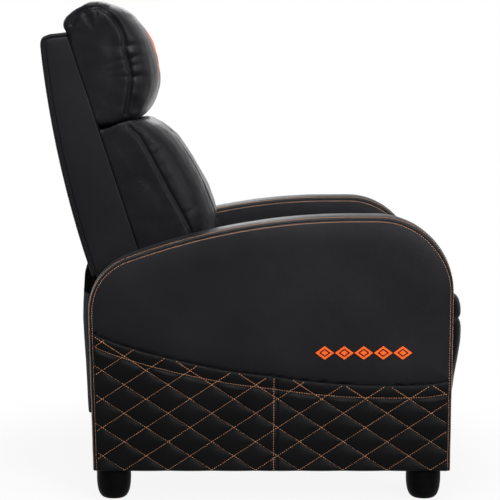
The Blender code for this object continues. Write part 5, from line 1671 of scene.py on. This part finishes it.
LAMPS = (Lamp("overhead_softbox", (-0.9, 0.05, 2.3), 0.9, 52.0),
         Lamp("camera_side_softbox", (-1.60, -1.95, 1.70), 0.6, 31.0),
         Lamp("sheen_softbox", (-2.9, -1.15, 1.65), 0.5, 42.0),
         Lamp("front_softbox", (0.8, -3.2, 1.8), 1.6, 3.0),
         Lamp("far_softbox", (3.0, 0.6, 2.2), 1.8, 36.0),
         Lamp("rear_softbox", (0.4, 3.2, 1.8), 1.8, 22.0))


@dataclass
class Studio:
    """Floor, lamps, world and camera."""

    eye: tuple[float, float, float] = (-3.65, 0.1375, 0.837)
    pitch: float = 5.64
    lens: float = 120.3
    sensor: float = 36.0
    shift: float = 0.126
    surround: float = 0.11
    floor_tones: Point = (0.40, 0.46)
    shadow_reach: Point = (0.40, 1.0)
    floor_glow: Point = (0.90, 1.0)

    def build_floor(self) -> None:
        """A pale floor that keeps the sofa's shadow."""
        floor = primitive(bpy.ops.mesh.primitive_plane_add, "studio_floor", size=40.0)
        material = bpy.data.materials.new("pale_floor")
        material.use_nodes = True
        recipe = Recipe(material.node_tree, "ShaderNodeOutputMaterial")
        colour = recipe.blend(recipe.cloud(0.6), *((tone, tone, tone) for tone in self.floor_tones))
        matt = recipe.add("ShaderNodeBsdfPrincipled", {}, {"Base Color": colour, "Roughness": 0.9})
        glow = recipe.add("ShaderNodeEmission", {}, {"Color": WHITE, "Strength": 1.0})
        where = recipe.add("ShaderNodeTexCoord", out="Object")
        away = recipe.add("ShaderNodeVectorMath", {"operation": "LENGTH"}, {0: where}, "Value")
        ends = dict(zip(("From Min", "From Max", "To Min", "To Max"), self.shadow_reach + self.floor_glow))
        share = recipe.add("ShaderNodeMapRange", {"interpolation_type": "SMOOTHSTEP"},
                           {"Value": away, **ends})
        share = recipe.light_share() * share
        recipe.show(recipe.add("ShaderNodeMixShader", {}, {0: share, 1: matt, 2: glow}))
        floor.data.materials.append(material)

    def build_world(self) -> None:
        """A white surround for the eye and a soft grey one for the light."""
        world = bpy.data.worlds.new("studio_world")
        bpy.context.scene.world = world
        world.use_nodes = True
        recipe = Recipe(world.node_tree, "ShaderNodeOutputWorld")
        soft, white = (recipe.add("ShaderNodeBackground", {}, {"Color": WHITE, "Strength": strength})
                       for strength in (self.surround, 1.0))
        recipe.show(recipe.add("ShaderNodeMixShader", {}, {0: recipe.light_share(), 1: soft, 2: white}))

    def build_camera(self) -> None:
        """The camera at the photograph's place."""
        data = bpy.data.cameras.new("view")
        data.lens = self.lens
        data.sensor_width = self.sensor
        data.shift_x = self.shift
        camera = bpy.data.objects.new("view", data)
        bpy.context.scene.collection.objects.link(camera)
        camera.location = self.eye
        camera.rotation_euler = (math.radians(90.0 - self.pitch), 0.0, math.radians(-90.0))
        bpy.context.scene.camera = camera

    def build(self) -> None:
        """Sets the whole studio up."""
        bpy.context.scene.view_settings.view_transform = "Standard"
        self.build_floor()
        self.build_world()
        for lamp in LAMPS:
            lamp.hang()
        self.build_camera()


def main() -> None:
    """Builds the sofa piece by piece."""
    palette = Palette()
    Studio().build()
    finish_mechanism(palette)
    for side in Side:
        Arm(side, palette).build()
    Base(palette).build()
    Seat(palette).build()
    Back(palette).build()


if __name__ == "__main__":
    main()
